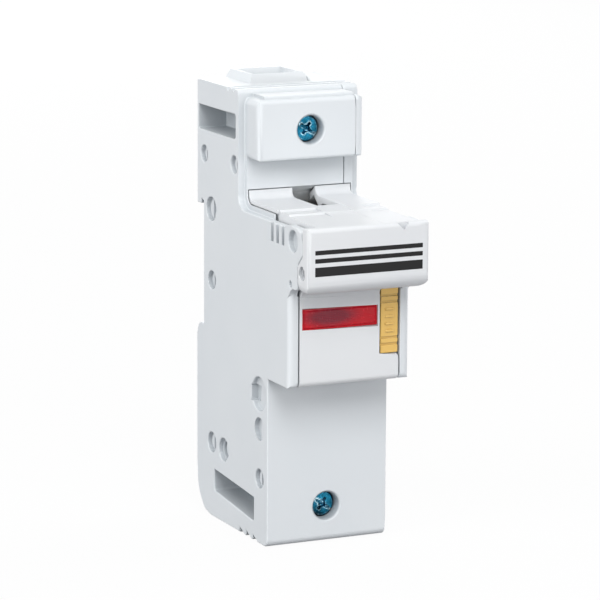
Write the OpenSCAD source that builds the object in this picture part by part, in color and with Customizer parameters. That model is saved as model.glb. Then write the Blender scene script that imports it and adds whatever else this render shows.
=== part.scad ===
// Two-module disconnector for one cylindrical fuse link, for a 35 mm mounting rail.
// X runs across the width, Y from the front (negative) to the rear, Z upwards.
// The origin is where the rail's lips bear on the housing, midway up and midway across.

/* [Housing] */
// Overall width, two modules
body_w = 36; // [35.6:0.2:40]
// Height of the top face above the rail's centre line
top_z = 51.2; // [51:0.1:54]
// Depth of the bottom face below the rail's centre line
bottom_z = 72.4; // [72:0.2:78]
// How far the legs reach behind the rail seat
rear_y = 4.8; // [4.6:0.1:6]
// Front plane of the upper housing, ahead of the rail seat
rim_y = 23.5; // [23:0.1:24]
// Front plane of the terminal block at the top
block_y = 32; // [31:0.5:36]
// Front plane of the lower housing
lower_y = 43.3; // [42.8:0.1:44]
// Front plane of the cheeks beside the carrier
cheek_y = 57; // [56.5:0.1:58]
// Drop from the carrier's shelf to the shoulder between the rim and the ears
shoulder_drop = 2.7; // [2.4:0.1:3.4]
// Thickness of the right-hand cover where it closes the lower housing
cover_t = 2.1; // [1.6:0.1:2.6]
// Depth of the shallow recesses round the assembly dowels
recess_d = 1.4; // [0.8:0.1:1.8]

/* [Rail] */
// Height of the rail over its two lips
rail_h = 35; // [34.5:0.1:36]
// Thickness of the stoutest rail's sheet
rail_t = 1.5; // [1.2:0.1:1.6]
// How far the hooks reach over the lips
hook_reach = 1.5; // [1:0.1:2.2]
// Travel of the spring clip when it is pulled down
clip_travel = 3.4; // [2:0.1:4]

/* [Carrier] */
// Hinge axis of the carrier, ahead of the rail seat
pivot_y = 50; // [49.5:0.1:50.5]
// Hinge axis of the carrier, below the rail's centre line
pivot_z = 20; // [19.5:0.1:20.5]
// Radius of the hinge pins
pivot_r = 2.5; // [2:0.1:3]
// Front plane of the pull handle
handle_y = 68.5; // [68:0.1:70]
// Drop from the carrier's shelf to the top of the handle
handle_drop = 1.2; // [0.8:0.1:1.6]
// Height of the handle's underside
lip_z = 1.8; // [1.5:0.1:2.2]
// Rise of the carrier's shelf above the fuse link
shelf_rise = 5.2; // [5:0.1:5.8]
// Wall thickness of the carrier's skin
skin = 1.8; // [1.5:0.1:2]
// Width of the viewing slot in the shelf
slot_w = 6.8; // [5:0.1:8]

/* [Fuse link] */
// Diameter of the end caps
fuse_d = 22.2; // [22:0.1:22.4]
// Overall length
fuse_l = 58; // [57.6:0.1:58.4]
// Length of each end cap
cap_l = 16; // [14:0.5:17]
// Distance of the link's axis ahead of the rail seat
fuse_y = 28; // [27.9:0.1:28.2]
// Height of the link's middle
fuse_z = -13; // [-13.3:0.1:-12.8]

/* [Terminals] */
// Height of the upper terminal screw
upper_z = 40.5; // [40:0.1:41]
// Depth of the lower terminal screw below the rail's centre line
lower_z = 62.4; // [62:0.1:63]
// Diameter of the screw's shank
screw_d = 6; // [5:0.5:6]
// Diameter of the screw's head
head_d = 7.2; // [6.8:0.1:7.4]
// Length of the screw with its head
screw_l = 19; // [18.6:0.1:19.4]
// How deep the screw heads sit behind the front face
head_sink = 3.2; // [2.8:0.1:4]
// Space for the conductor between the tongue and the cage
wire_gap = 9.2; // [8:0.1:9.6]
// Thickness of the copper strip
strip_t = 1.5; // [1.2:0.1:1.8]

/* [Front plate] */
// Height of the indicator lens
lens_h = 5.9; // [5:0.1:7]
// Height of the lens centre, below the rail's centre line
lens_z = 6.75; // [6:0.05:8]
// Width of the padlock slide
slide_w = 5.2; // [4.8:0.1:5.4]
// Travel of the padlock slide
slide_travel = 9; // [7:0.5:9]
// Diameter of the padlock hole
padlock_d = 4.4; // [4:0.1:5]

/* [Hidden] */
$fn = 48;

// Clearances
gap = 0.3;
fit = 0.05;
seam = 0.12;
over = 1;

// Fuse link, derived
fuse_r = fuse_d / 2;
fuse_top = fuse_z + fuse_l / 2;
fuse_foot = fuse_z - fuse_l / 2;
tube_r = fuse_r - 0.6;

// Contacts, derived: the jaws run beside the caps
jaw_x = fuse_r + gap;
jaw_t = 1.2;
jaw_flare = 0.6;
jaw_z = fuse_top - 8.5;
jaw_h = 7;
jaw_spring_t = 0.6;
web_y = -(fuse_y - fuse_r - 1.1);
floor_z = fuse_foot - 1.2;

// Carrier and bay, derived: the webs clear the jaws, and the cheeks take what width is left
jaw_room = 0.4;
web_t = 1.2;
web_x = jaw_x + jaw_t + jaw_flare + jaw_room;
carrier_x = web_x + web_t;
bay_x = carrier_x + gap;
bay_floor = floor_z - strip_t - 1.3;
bay_back = norm([pivot_y - fuse_y + fuse_r, pivot_z + fuse_foot]) - pivot_y + 1.05;
shelf_z = fuse_top + shelf_rise;
handle_z = shelf_z - handle_drop;
shoulder_z = shelf_z - shoulder_drop;

// Housing, derived
half_w = body_w / 2;
block_x = half_w - 2;
skirt_x = block_x - 0.7;
ledge_z = shoulder_z + 1.5;
wall_y = rim_y + 1.3;
cheek_bottom = -25.2;
front_wall = 2;
cheek_r = 1.7;
bay_r = norm([pivot_y - wall_y, shelf_z + 2.8 + pivot_z]);
hood_r = bay_r - gap;
rail_slot = rail_h / 2 + 0.2;
hook_y = rail_t + 0.6;
cover_x = half_w - cover_t;
split_x = half_w - 4.6;
collar_z = top_z + 2.2;
ear_z = shoulder_z + 0.8;
ear_y = handle_y - 3.5;
jaw_y = cheek_y + 5.1;

// Terminals, derived: the tip of each screw stops just short of its tongue
upper_head = -(block_y - head_sink);
lower_head = -(lower_y - head_sink);
upper_tongue = upper_head + screw_l + 0.05;
lower_tongue = lower_head + screw_l + 0.05;
cage_x = 8.6;
cage_wall = 1.6;
cage_nut = 4.5;
cage_h = 11;
tongue_x = 6.6;
cage_lead = 0.4;
head_bore = head_d / 2 + 0.25;

// Assembly dowels between the two halves: height, depth and recess radius
DOWELS = [[-0.1, 30.6, 2.4], [-20.8, 30.4, 2.5], [-4.9, 15.7, 3.4], [-5.4, -4.4, 2.6],
    [-5.4, -51, 2.9], [-13.7, -51.4, 3.3], [-38, -54.1, 2.7]];

// Corner rounding of an outline: entries are [x, y, radius]
function unit(v) = v / norm(v);
function xy(p) = [p[0], p[1]];
function turn(a) = a > 180 ? a - 360 : a < -180 ? a + 360 : a;
function arc(c, r, a0, a1, n) =
    [for (i = [0:n]) c + r * [cos(a0 + (a1 - a0) * i / n), sin(a0 + (a1 - a0) * i / n)]];
function corner(p, q, s, r) =
    r == 0 || r == undef ? [q] :
    let (a = unit(p - q), b = unit(s - q), half = acos(a * b) / 2, c = q + unit(a + b) * r / sin(half),
        t0 = q + a * r / tan(half) - c, t1 = q + b * r / tan(half) - c,
        a0 = atan2(t0[1], t0[0]), a1 = a0 + turn(atan2(t1[1], t1[0]) - a0))
    arc(c, r, a0, a1, r > 3 ? 9 : 5);
function rounded(pts) =
    let (n = len(pts))
    [for (i = [0:n - 1]) each corner(xy(pts[(i + n - 1) % n]), xy(pts[i]), xy(pts[(i + 1) % n]), pts[i][2])];

// Outline of a bent strip of thickness t along a path
function side(path, i, s, t) =
    let (n = len(path), d0 = unit(path[max(i, 1)] - path[max(i, 1) - 1]),
        d1 = unit(path[min(i + 1, n - 1)] - path[min(i, n - 2)]),
        m = unit([-d0[1], d0[0]] + [-d1[1], d1[0]]))
    path[i] + s * m * t / 2 / (m * [-d0[1], d0[0]]);
function ribbon(path, t) =
    let (n = len(path))
    concat([for (i = [0:n - 1]) side(path, i, 1, t)], [for (i = [n - 1:-1:0]) side(path, i, -1, t)]);

// Extrusions along the three axes; the outline keeps the order of the two axes left over
module across(x0, x1) { translate([x0, 0, 0]) rotate([90, 0, 90]) linear_extrude(x1 - x0) children(); }
module deep(y0, y1) { translate([0, y1, 0]) rotate([90, 0, 0]) linear_extrude(y1 - y0) children(); }
module upright(z0, z1) { translate([0, 0, z0]) linear_extrude(z1 - z0) children(); }
module box(lo, hi) { translate(lo) cube(hi - lo); }
module rod_x(p, r, x0, x1) { translate([x0, p[0], p[1]]) rotate([0, 90, 0]) cylinder(r = r, h = x1 - x0); }
module rod_y(p, r, y0, y1) { translate([p[0], y0, p[1]]) rotate([-90, 0, 0]) cylinder(r = r, h = y1 - y0); }

// Height of a circle round the hinge axis at depth y
function swing(r, y) = -pivot_z + sqrt(r * r - (y + pivot_y) * (y + pivot_y));

// Side view of the housing, with the ears and cheeks
SIDE = [[rear_y, top_z, 0.8], [-rim_y, top_z, 1.2], [-rim_y, shoulder_z, 4],
    [3.2 - cheek_y, shoulder_z, 0.8], [0.6 - cheek_y, ear_z, 1.5], [-ear_y, ear_z, 4], [-ear_y, 12.4, 0.8],
    [-jaw_y, 9.6, 0.8], [-jaw_y, 2.4, 1.5], [-cheek_y, 2.4, 2.4], [-cheek_y, cheek_bottom, 1.8],
    [-lower_y, cheek_bottom, 0], [-lower_y, -bottom_z, 2], [rear_y, -bottom_z, 10],
    [rear_y, -rail_slot, 3], [0, -rail_slot, 0], [0, rail_slot, 0],
    [hook_y, rail_slot, 0], [hook_y, rail_slot - hook_reach, 0], [rear_y, rail_slot - hook_reach, 0.4]];

// The room that the carrier and the fuse link swing through
BAY = concat([[-pivot_y - 40, cheek_bottom - gap], [front_wall - lower_y, cheek_bottom - gap],
    [front_wall - lower_y, bay_floor], [bay_back, bay_floor]],
    arc([-pivot_y, -pivot_z], bay_r, acos((pivot_y + bay_back) / bay_r), 90, 14),
    [[-pivot_y - 40, bay_r - pivot_z]]);

// The terminal block, and the wall that it stands out from
BLOCK = [[3 - rim_y, top_z - 1.9, 0], [-block_y, top_z - 1.9, 1.4], [-block_y, upper_z - 8.1, 1],
    [3 - rim_y, upper_z - 8.1, 0]];
WALL = rounded([[3 - rim_y, upper_z, 0], [-wall_y, upper_z, 0], [-wall_y, ledge_z, 2.6], [-43.2, ledge_z, 0.6],
    [-43.2, shoulder_z - 1, 0], [3 - rim_y, shoulder_z - 1, 0]]);

// Centre lines of the two contact strips
UPPER_STRIP = [[web_y + strip_t / 2, jaw_z], [web_y + strip_t / 2, shelf_z + 2.8],
    [upper_tongue + strip_t / 2, shelf_z + 9.8], [upper_tongue + strip_t / 2, upper_z + 6]];
LOWER_STRIP = [[-fuse_y - 9, floor_z - strip_t / 2], [lower_tongue + strip_t / 2, floor_z - strip_t / 2],
    [lower_tongue + strip_t / 2, -lower_z - 6.6]];

module terminal_room(z, head, tongue) {
    room_front = tongue - 0.45 - cage_nut - 4.6;
    room_back = tongue + strip_t + wire_gap + cage_wall + gap;
    box([-cage_x - gap, room_front, z - cage_h / 2 - gap], [cage_x + gap, room_back, z + cage_h / 2 + gap]);
    rod_y([0, z], head_bore, head - head_sink - over, room_front + over);
    translate([0, head - head_sink - 0.01, z]) rotate([-90, 0, 0])
        cylinder(r1 = head_bore + 0.7, r2 = head_bore, h = 0.8);
}

module housing_solid() {
    difference() {
        union() {
            across(-half_w, half_w) polygon(rounded(SIDE));
            across(-block_x, block_x) polygon(WALL);
            intersection() {
                across(-block_x - over, block_x + over) polygon(rounded(BLOCK));
                deep(-block_y - over, 0) polygon(rounded([
                    [-block_x, upper_z - 8.12, 1.6], [block_x, upper_z - 8.12, 1.6],
                    [block_x, top_z - 1.88, 2.2], [-block_x, top_z - 1.88, 2.2]]));
                upright(0, top_z) polygon(rounded([
                    [-block_x - 0.02, 0, 0], [-block_x - 0.02, -block_y - 0.02, 2],
                    [block_x + 0.02, -block_y - 0.02, 2], [block_x + 0.02, 0, 0]]));
            }
            // Raised tongue on the block's top
            box([-13.5, 1.2 - block_y, top_z - 2.2], [13.5, -rim_y + 0.8, top_z - 1.1]);
            // Hood round the cable entry
            intersection() {
                deep(-13, rear_y)
                    polygon([[-9.9, top_z - 1], [9.9, top_z - 1], [7.8, collar_z], [-7.8, collar_z]]);
                across(-12, 12)
                    polygon([[-13, top_z - 1], [-9.6, collar_z], [rear_y, collar_z], [rear_y, top_z - 1]]);
            }
        }
        across(-bay_x, bay_x) polygon(BAY);
        intersection() {
            across(-skirt_x - gap, skirt_x + gap) polygon(BAY);
            box([-half_w, -pivot_y - 40, 0], [half_w, 0.2 - wall_y + 1, bay_r]);
        }
        // Grip grooves across the top
        for (y = [-16.6, -19.9]) rod_x([y, top_z + 0.1], 0.95, -half_w - over, half_w + over);
        // Saw-tooth grooves across the bottom
        for (y = [-24.8, -29.2, -33.6])
            across(-half_w - over, half_w + over)
                polygon([[y, -bottom_z - 0.5], [y, 1.6 - bottom_z], [y - 3.4, -bottom_z],
                    [y - 3.4, -bottom_z - 0.5]]);
        // Terminals and the way in for each conductor
        terminal_room(upper_z, upper_head, upper_tongue);
        terminal_room(-lower_z, lower_head, lower_tongue);
        intersection() {
            deep(-12, rear_y) polygon([[-6.2, upper_z], [6.2, upper_z], [6.2, top_z - 2], [7, collar_z + 0.1],
                [-7, collar_z + 0.1], [-6.2, top_z - 2]]);
            across(-9, 9) polygon([
                [upper_tongue + strip_t + 0.1, upper_z], [upper_tongue + strip_t + 0.1, top_z - 1],
                [-8.8, collar_z + 0.1], [3.4, collar_z + 0.1],
                [upper_tongue + strip_t + wire_gap - 0.1, top_z - 2],
                [upper_tongue + strip_t + wire_gap - 0.1, upper_z]]);
        }
        box([-6.2, lower_tongue + strip_t + 0.1, -bottom_z - over],
            [6.2, lower_tongue + strip_t + wire_gap - 0.1, -lower_z]);
        // Passages for the contact strips
        across(-tongue_x - gap, tongue_x + gap) polygon(ribbon(UPPER_STRIP, strip_t + 2 * gap));
        across(-tongue_x - gap, tongue_x + gap) polygon(ribbon(LOWER_STRIP, strip_t + 2 * gap));
        // Guide for the rail clip
        clip_room();
        for (s = [-1, 1]) scale_x(s) {
            // Lightening pockets beside the terminals
            across(9.5, half_w + over)
                polygon(rounded([[3.4, 44.3, 0.4], [-21.5, 44.3, 0.8], [-21.5, 37.4, 0.8], [3.4, 37.4, 0.4]]));
            across(9.5, half_w + over) polygon(rounded([[-7, -58.2, 0.4], [-34.7, -60, 0.4], [-34.6, -67, 0.8],
                [-7.4, -64.6, 0.8]]));
            // Round recess and vents at the ears
            rod_x([5.8 - ear_y, ear_z - 3.9], 2.95, half_w - 1.7, half_w + over);
            for (y = [-46.1, -49.5, -53])
                deep(y - 0.85, y + 0.85)
                    polygon([[half_w + over, 13.3], [half_w - 1.7, 13.3], [half_w - 0.45, ear_z - 0.6],
                        [half_w + over, ear_z - 0.6]]);
            rod_x([-57.7, 3.6], 0.9, half_w - 0.9, half_w + over);
            // Recesses with a window above the lower terminal
            rod_x([-37.6, -30.4], 4.75, half_w - recess_d, half_w + over);
            box([half_w - recess_d - 1, -36.3, -33], [half_w, -32.5, -28.5]);
            difference() {
                rod_x([-38.1, -40.1], 3.25, half_w - recess_d, half_w + over);
                box([half_w - recess_d - over, -43, -44], [half_w - 0.6, -38.3, -36]);
            }
            // Rounded upright edge of the cheek
            intersection() {
                difference() {
                    box([half_w - cheek_r, -cheek_y - over, cheek_bottom - over],
                        [half_w + over, cheek_r - cheek_y, 3]);
                    translate([half_w - cheek_r, cheek_r - cheek_y, cheek_bottom - 2])
                        cylinder(r = cheek_r, h = 8 - cheek_bottom);
                }
                across(half_w - 3, half_w + 2) polygon([[-cheek_y - 2, cheek_bottom - 2], [-cheek_y - 2, 2.4],
                    [-cheek_y, 0.8], [cheek_r - cheek_y + 0.1, -1.2],
                    [cheek_r - cheek_y + 0.1, cheek_bottom - 2]]);
            }
            // Blind bearings for the carrier's hinge pins
            rod_x([-pivot_y, -pivot_z], pivot_r + fit, bay_x - over, bay_x + 2.1);
        }
    }
}

module scale_x(s) { if (s < 0) mirror([1, 0, 0]) children(); else children(); }

// The half of the housing that the right-hand cover takes
module cover_region(g) {
    box([split_x + g, -90, cheek_bottom - over], [half_w + over, -lower_y - g, top_z - 2]);
    box([split_x + g, -lower_y - over, cheek_bottom + g], [half_w + over, rear_y + over, top_z - 2]);
    box([split_x + g, -90, top_z - 2 - over], [half_w + over, rear_y + over, collar_z + over]);
    box([8.4 + g, -15, top_z - 1.6], [half_w + over, rear_y + over, collar_z + over]);
    box([cover_x + g, 1.2 - lower_y + g, 1.2 - bottom_z + g],
        [half_w + over, rear_y + over, cheek_bottom + over]);
}

module dowel_holes(clear) {
    for (d = DOWELS) rod_x([d[0], d[1]], d[2] - 0.7 + clear, recess_d - 0.4 - half_w, half_w - recess_d);
}

// Main half of the housing, the tub that everything is laid into
module left_shell() color([0.84, 0.86, 0.87]) {
    difference() {
        housing_solid();
        cover_region(0);
        for (d = DOWELS) rod_x([d[0], d[1]], d[2], -half_w - over, recess_d - half_w);
        dowel_holes(0.12);
    }
    // Lug that the clip's spring stands on, and that stops the clip going up
    box([0.3 - window_x, clip_y0 - gap - 0.5, window_foot + lug_gap],
        [window_x - 0.3, clip_y1 - 0.3, window_foot + lug_gap + lug_h]);
}

// The cover that closes the tub, with the dowels that hold the two together
module right_cover() color([0.82, 0.84, 0.86]) {
    difference() {
        intersection() {
            housing_solid();
            cover_region(seam);
        }
        for (d = DOWELS) rod_x([d[0], d[1]], d[2], half_w - recess_d, half_w + over);
    }
    difference() {
        dowel_holes(0);
        for (d = DOWELS) {
            box([-half_w, d[0] - 9, d[1] - 9], [0.6 + recess_d - half_w, d[0] + 0.2, d[1] + 9]);
            box([half_w - recess_d, d[0] - 9, d[1] - 9], [half_w, d[0] + 9, d[1] + 9]);
        }
    }
}

// Copper strip with the jaws that take the upper cap from both sides
module upper_contact() color([0.80, 0.66, 0.47]) {
    across(-tongue_x, tongue_x) polygon(ribbon(UPPER_STRIP, strip_t));
    jaw_end = -fuse_y - 4.6;
    upright(jaw_z, jaw_z + jaw_h) polygon([[-jaw_x - jaw_t, web_y + strip_t], [jaw_x + jaw_t, web_y + strip_t],
        [jaw_x + jaw_t, jaw_end], [jaw_x + jaw_t + 0.6, jaw_end - 1.6], [jaw_x + 0.6, jaw_end - 1.9],
        [jaw_x, jaw_end], [jaw_x, web_y], [-jaw_x, web_y], [-jaw_x, jaw_end], [-jaw_x - 0.6, jaw_end - 1.9],
        [-jaw_x - jaw_t - 0.6, jaw_end - 1.6], [-jaw_x - jaw_t, jaw_end]]);
}

// Copper strip with the jaws that take the lower cap
module lower_contact() color([0.80, 0.66, 0.47]) {
    across(-tongue_x, tongue_x) polygon(ribbon(LOWER_STRIP, strip_t));
    jaw_top = fuse_foot + 11;
    deep(-fuse_y - 9, -fuse_y + 8) polygon([
        [-jaw_x - jaw_t, floor_z - strip_t], [jaw_x + jaw_t, floor_z - strip_t],
        [jaw_x + jaw_t, jaw_top], [jaw_x + jaw_t + 0.5, jaw_top + 1.6], [jaw_x + 0.6, jaw_top + 1.9],
        [jaw_x, jaw_top], [jaw_x, floor_z], [-jaw_x, floor_z], [-jaw_x, jaw_top], [-jaw_x - 0.6, jaw_top + 1.9],
        [-jaw_x - jaw_t - 0.5, jaw_top + 1.6], [-jaw_x - jaw_t, jaw_top]]);
}

// Steel bow that presses the upper jaws together
module upper_jaw_spring() color([0.62, 0.64, 0.66]) {
    x = jaw_x + jaw_t;
    y = web_y + strip_t;
    upright(jaw_z + 1.5, jaw_z + jaw_h - 1.5) polygon([[-x - jaw_spring_t, y + jaw_spring_t],
        [x + jaw_spring_t, y + jaw_spring_t], [x + jaw_spring_t, 1 - fuse_y - 3], [x, 1 - fuse_y - 3],
        [x, y], [-x, y], [-x, 1 - fuse_y - 3],
        [-x - jaw_spring_t, 1 - fuse_y - 3]]);
}

// Steel bow that presses the lower jaws together
module lower_jaw_spring() color([0.62, 0.64, 0.66]) {
    x = jaw_x + jaw_t;
    z = floor_z - strip_t;
    top = fuse_foot + 9.5;
    deep(-fuse_y - 4, -fuse_y + 3) polygon([[-x - jaw_spring_t, z - jaw_spring_t],
        [x + jaw_spring_t, z - jaw_spring_t], [x + jaw_spring_t, top], [x, top], [x, z],
        [-x, z], [-x, top], [-x - jaw_spring_t, top]]);
}

// Clamping cage: a rectangular ring with a thick, bored front wall
module cage(z, tongue) {
    front = tongue - 0.45;
    back = tongue + strip_t + wire_gap;
    difference() {
        upright(z - cage_h / 2, z + cage_h / 2) polygon(rounded([[-cage_x, front - cage_nut, 1.2],
            [cage_x, front - cage_nut, 1.2], [cage_x, back + cage_wall, 1.6],
            [-cage_x, back + cage_wall, 1.6]]));
        upright(z - cage_h / 2 - over, z + cage_h / 2 + over) polygon(rounded([[cage_wall - cage_x, front, 0],
            [cage_x - cage_wall, front, 0], [cage_x - cage_wall, back, 1], [cage_wall - cage_x, back, 1]]));
        rod_y([0, z], screw_d / 2 + fit, front - cage_nut - over, front + over);
    }
}
module upper_cage() color([0.70, 0.71, 0.69]) cage(upper_z, upper_tongue);
module lower_cage() color([0.70, 0.71, 0.69]) cage(-lower_z, lower_tongue);

// Terminal screw with a cross recess and a slot, its tip against the tongue
module screw(z, head) {
    difference() {
        union() {
            rod_y([0, z], head_d / 2, head + 0.5, head + 3.6);
            translate([0, head, z]) rotate([-90, 0, 0])
                cylinder(r1 = head_d / 2 - 0.5, r2 = head_d / 2, h = 0.5);
            rod_y([0, z], screw_d / 2, head + 3.5, head + screw_l - 1);
            translate([0, head + screw_l - 1, z]) rotate([-90, 0, 0])
                cylinder(r1 = screw_d / 2, r2 = screw_d / 2 - 1, h = 1);
        }
        for (a = [35, 125])
            translate([0, head, z]) rotate([0, a, 0]) box([-2.1, -over, -0.55], [2.1, 1.9, 0.55]);
        translate([0, head, z]) rotate([0, 35, 0]) box([-head_d, -over, -0.4], [head_d, 0.9, 0.4]);
    }
}
module upper_screw() color([0.35, 0.55, 0.62]) screw(upper_z, upper_head);
module lower_screw() color([0.35, 0.55, 0.62]) screw(-lower_z, lower_head);

// Rail clip: a stepped plate that slides in the rear of the housing
clip_y0 = hook_y;
clip_y1 = rear_y - 0.3;
clip_mid = clip_y0 + 1.2;
clip_x = 8;
clip_wing = 1.8;
clip_top = hook_reach - rail_slot;
clip_end = 9.4 - bottom_z;
window_x = 2.6;
window_top = clip_top - 12;
window_foot = window_top - 18;
lug_h = 3;
lug_gap = 0.2;
spring_r = 0.95;
wire_r = 0.25;

module clip_room() {
    box([-clip_x - gap, clip_y0 - gap, -bottom_z - over], [clip_x + gap, rear_y + over, over - rail_slot]);
    box([-clip_x - clip_wing - gap, clip_y0 - gap, -bottom_z - over],
        [clip_x + clip_wing + gap, clip_mid + gap, -rail_slot - 3]);
}
module rail_clip() color([0.55, 0.57, 0.58]) {
    difference() {
        union() {
            box([-clip_x, clip_mid - 0.1, clip_end], [clip_x, clip_y1, clip_top]);
            box([-clip_x, clip_y0, clip_end], [clip_x, clip_mid, clip_top]);
            box([-clip_x - clip_wing, clip_y0, clip_end + 6], [clip_x + clip_wing, clip_mid, -rail_slot - 6.8]);
        }
        // Slanted nose that rides over the rail's lip
        across(-clip_x - over, clip_x + over) polygon([[clip_y1 + 0.1, clip_top - 1.6],
            [clip_y0 + 1, clip_top + 0.1], [clip_y1 + 0.1, clip_top + 0.1]]);
        box([-window_x, clip_y0 - over, window_foot], [window_x, clip_y1 + over, window_top]);
        // Slot for a screwdriver
        box([-3, clip_y0 - over, clip_end + 2], [3, clip_y1 + over, clip_end + 4]);
    }
}

// Spring of the rail clip, a wire helix between the clip's window and the housing's lug
SPRING_TURNS = 7;
SPRING_STEPS = 14;
SPRING_SIDES = 6;
spring_foot = window_foot + lug_gap + lug_h + 0.02;
spring_len = window_top - 0.02 - spring_foot;
spring_y = (clip_y0 + clip_y1) / 2;
function coil_point(a, q) =
    let (r = spring_r + wire_r * cos(q))
    [r * cos(a), spring_y + r * sin(a),
        spring_foot + wire_r + (spring_len - 2 * wire_r) * a / (360 * SPRING_TURNS) + wire_r * sin(q)];
module clip_spring() color([0.72, 0.73, 0.74]) {
    n = SPRING_TURNS * SPRING_STEPS;
    m = SPRING_SIDES;
    points = [for (i = [0:n]) for (j = [0:m - 1]) coil_point(360 * i / SPRING_STEPS, 360 * j / m)];
    faces = concat([for (j = [1:m - 2]) [0, j, j + 1]],
        [for (j = [1:m - 2]) [n * m, n * m + j + 1, n * m + j]],
        [for (i = [0:n - 1]) for (j = [0:m - 1]) [i * m + j, (i + 1) * m + j, i * m + (j + 1) % m]],
        [for (i = [0:n - 1]) for (j = [0:m - 1])
            [(i + 1) * m + j, (i + 1) * m + (j + 1) % m, i * m + (j + 1) % m]]);
    polyhedron(points, faces, convexity = 10);
}

// Side view of the carrier with its hood, handle and front plate
HOOD_END = -21.5;
CARRIER = concat(rounded([[-wall_y, swing(hood_r, -wall_y), 0], [-wall_y, shelf_z, 2.4], [-44, shelf_z, 0.3],
    [-44.5, shelf_z - 0.6, 0.3], [-49.6, shelf_z - 0.4, 0.3], [-50.1, shelf_z - 0.9, 0.3],
    [-handle_y, handle_z, 1.2], [-handle_y, lip_z, 4.2], [-cheek_y, lip_z, 3.4],
    [-cheek_y, cheek_bottom, 1.6], [-40, cheek_bottom, 2], [-36, -17, 5], [-22.5, -17, 4],
    [HOOD_END, 0, 0]]),
    [for (i = [0:3]) let (y = HOOD_END - i * (wall_y + HOOD_END) / 4) [y, swing(hood_r, y)]]);

// Hollow of the carrier
skin_y = skin - cheek_y;
HOLLOW = concat(rounded([[skin_y, cheek_bottom - over, 0], [skin_y, lip_z + 1.2, 0.8], [-60.5, lip_z + 2.6, 1],
    [skin - handle_y, lip_z + 3.2, 3], [skin - handle_y, handle_z - skin, 0.8], [-50, shelf_z - skin - 0.9, 0],
    [-44, shelf_z - skin, 0], [-27, shelf_z - skin, 1.5]]),
    [[-wall_y + 0.8, swing(hood_r - skin, 0.8 - wall_y)],
        [HOOD_END + over, swing(hood_r - skin, HOOD_END + over)], [HOOD_END + over, -30], [skin_y + 6, -30]]);

// Handle ends that stand in front of the ears
HANDLE = [[-handle_y, handle_z, 1.2], [-handle_y, lip_z, 4.2], [-jaw_y - 0.35, lip_z, 1.5],
    [-jaw_y - 0.35, 9.5, 0.6],
    [-ear_y - 0.4, 12.2, 0.6], [-ear_y - 0.4, handle_z, 0.8]];

spine_y = -(fuse_y + fuse_r + 2.4);
slot_x = [4.5 - slot_w, 4.5];
lens_x = [-carrier_x + 0.7, 8.4];
slide_x = [carrier_x - slide_w - 0.2, carrier_x - 0.2];
slide_z = [-17.7, 0.4];
slide_face = -cheek_y + 0.3;
slide_seat = skin_y - 0.2;
boss_y = skin_y + 1.3;
stem_x = [slide_x[0] + 1, web_x - 0.25];
stem_z = [-14, -3];
stem_end = boss_y + 0.4 + slide_travel;
foot_y = stem_end + 1.3;
hole_y = 3 - cheek_y + slide_travel - 6;

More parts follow.
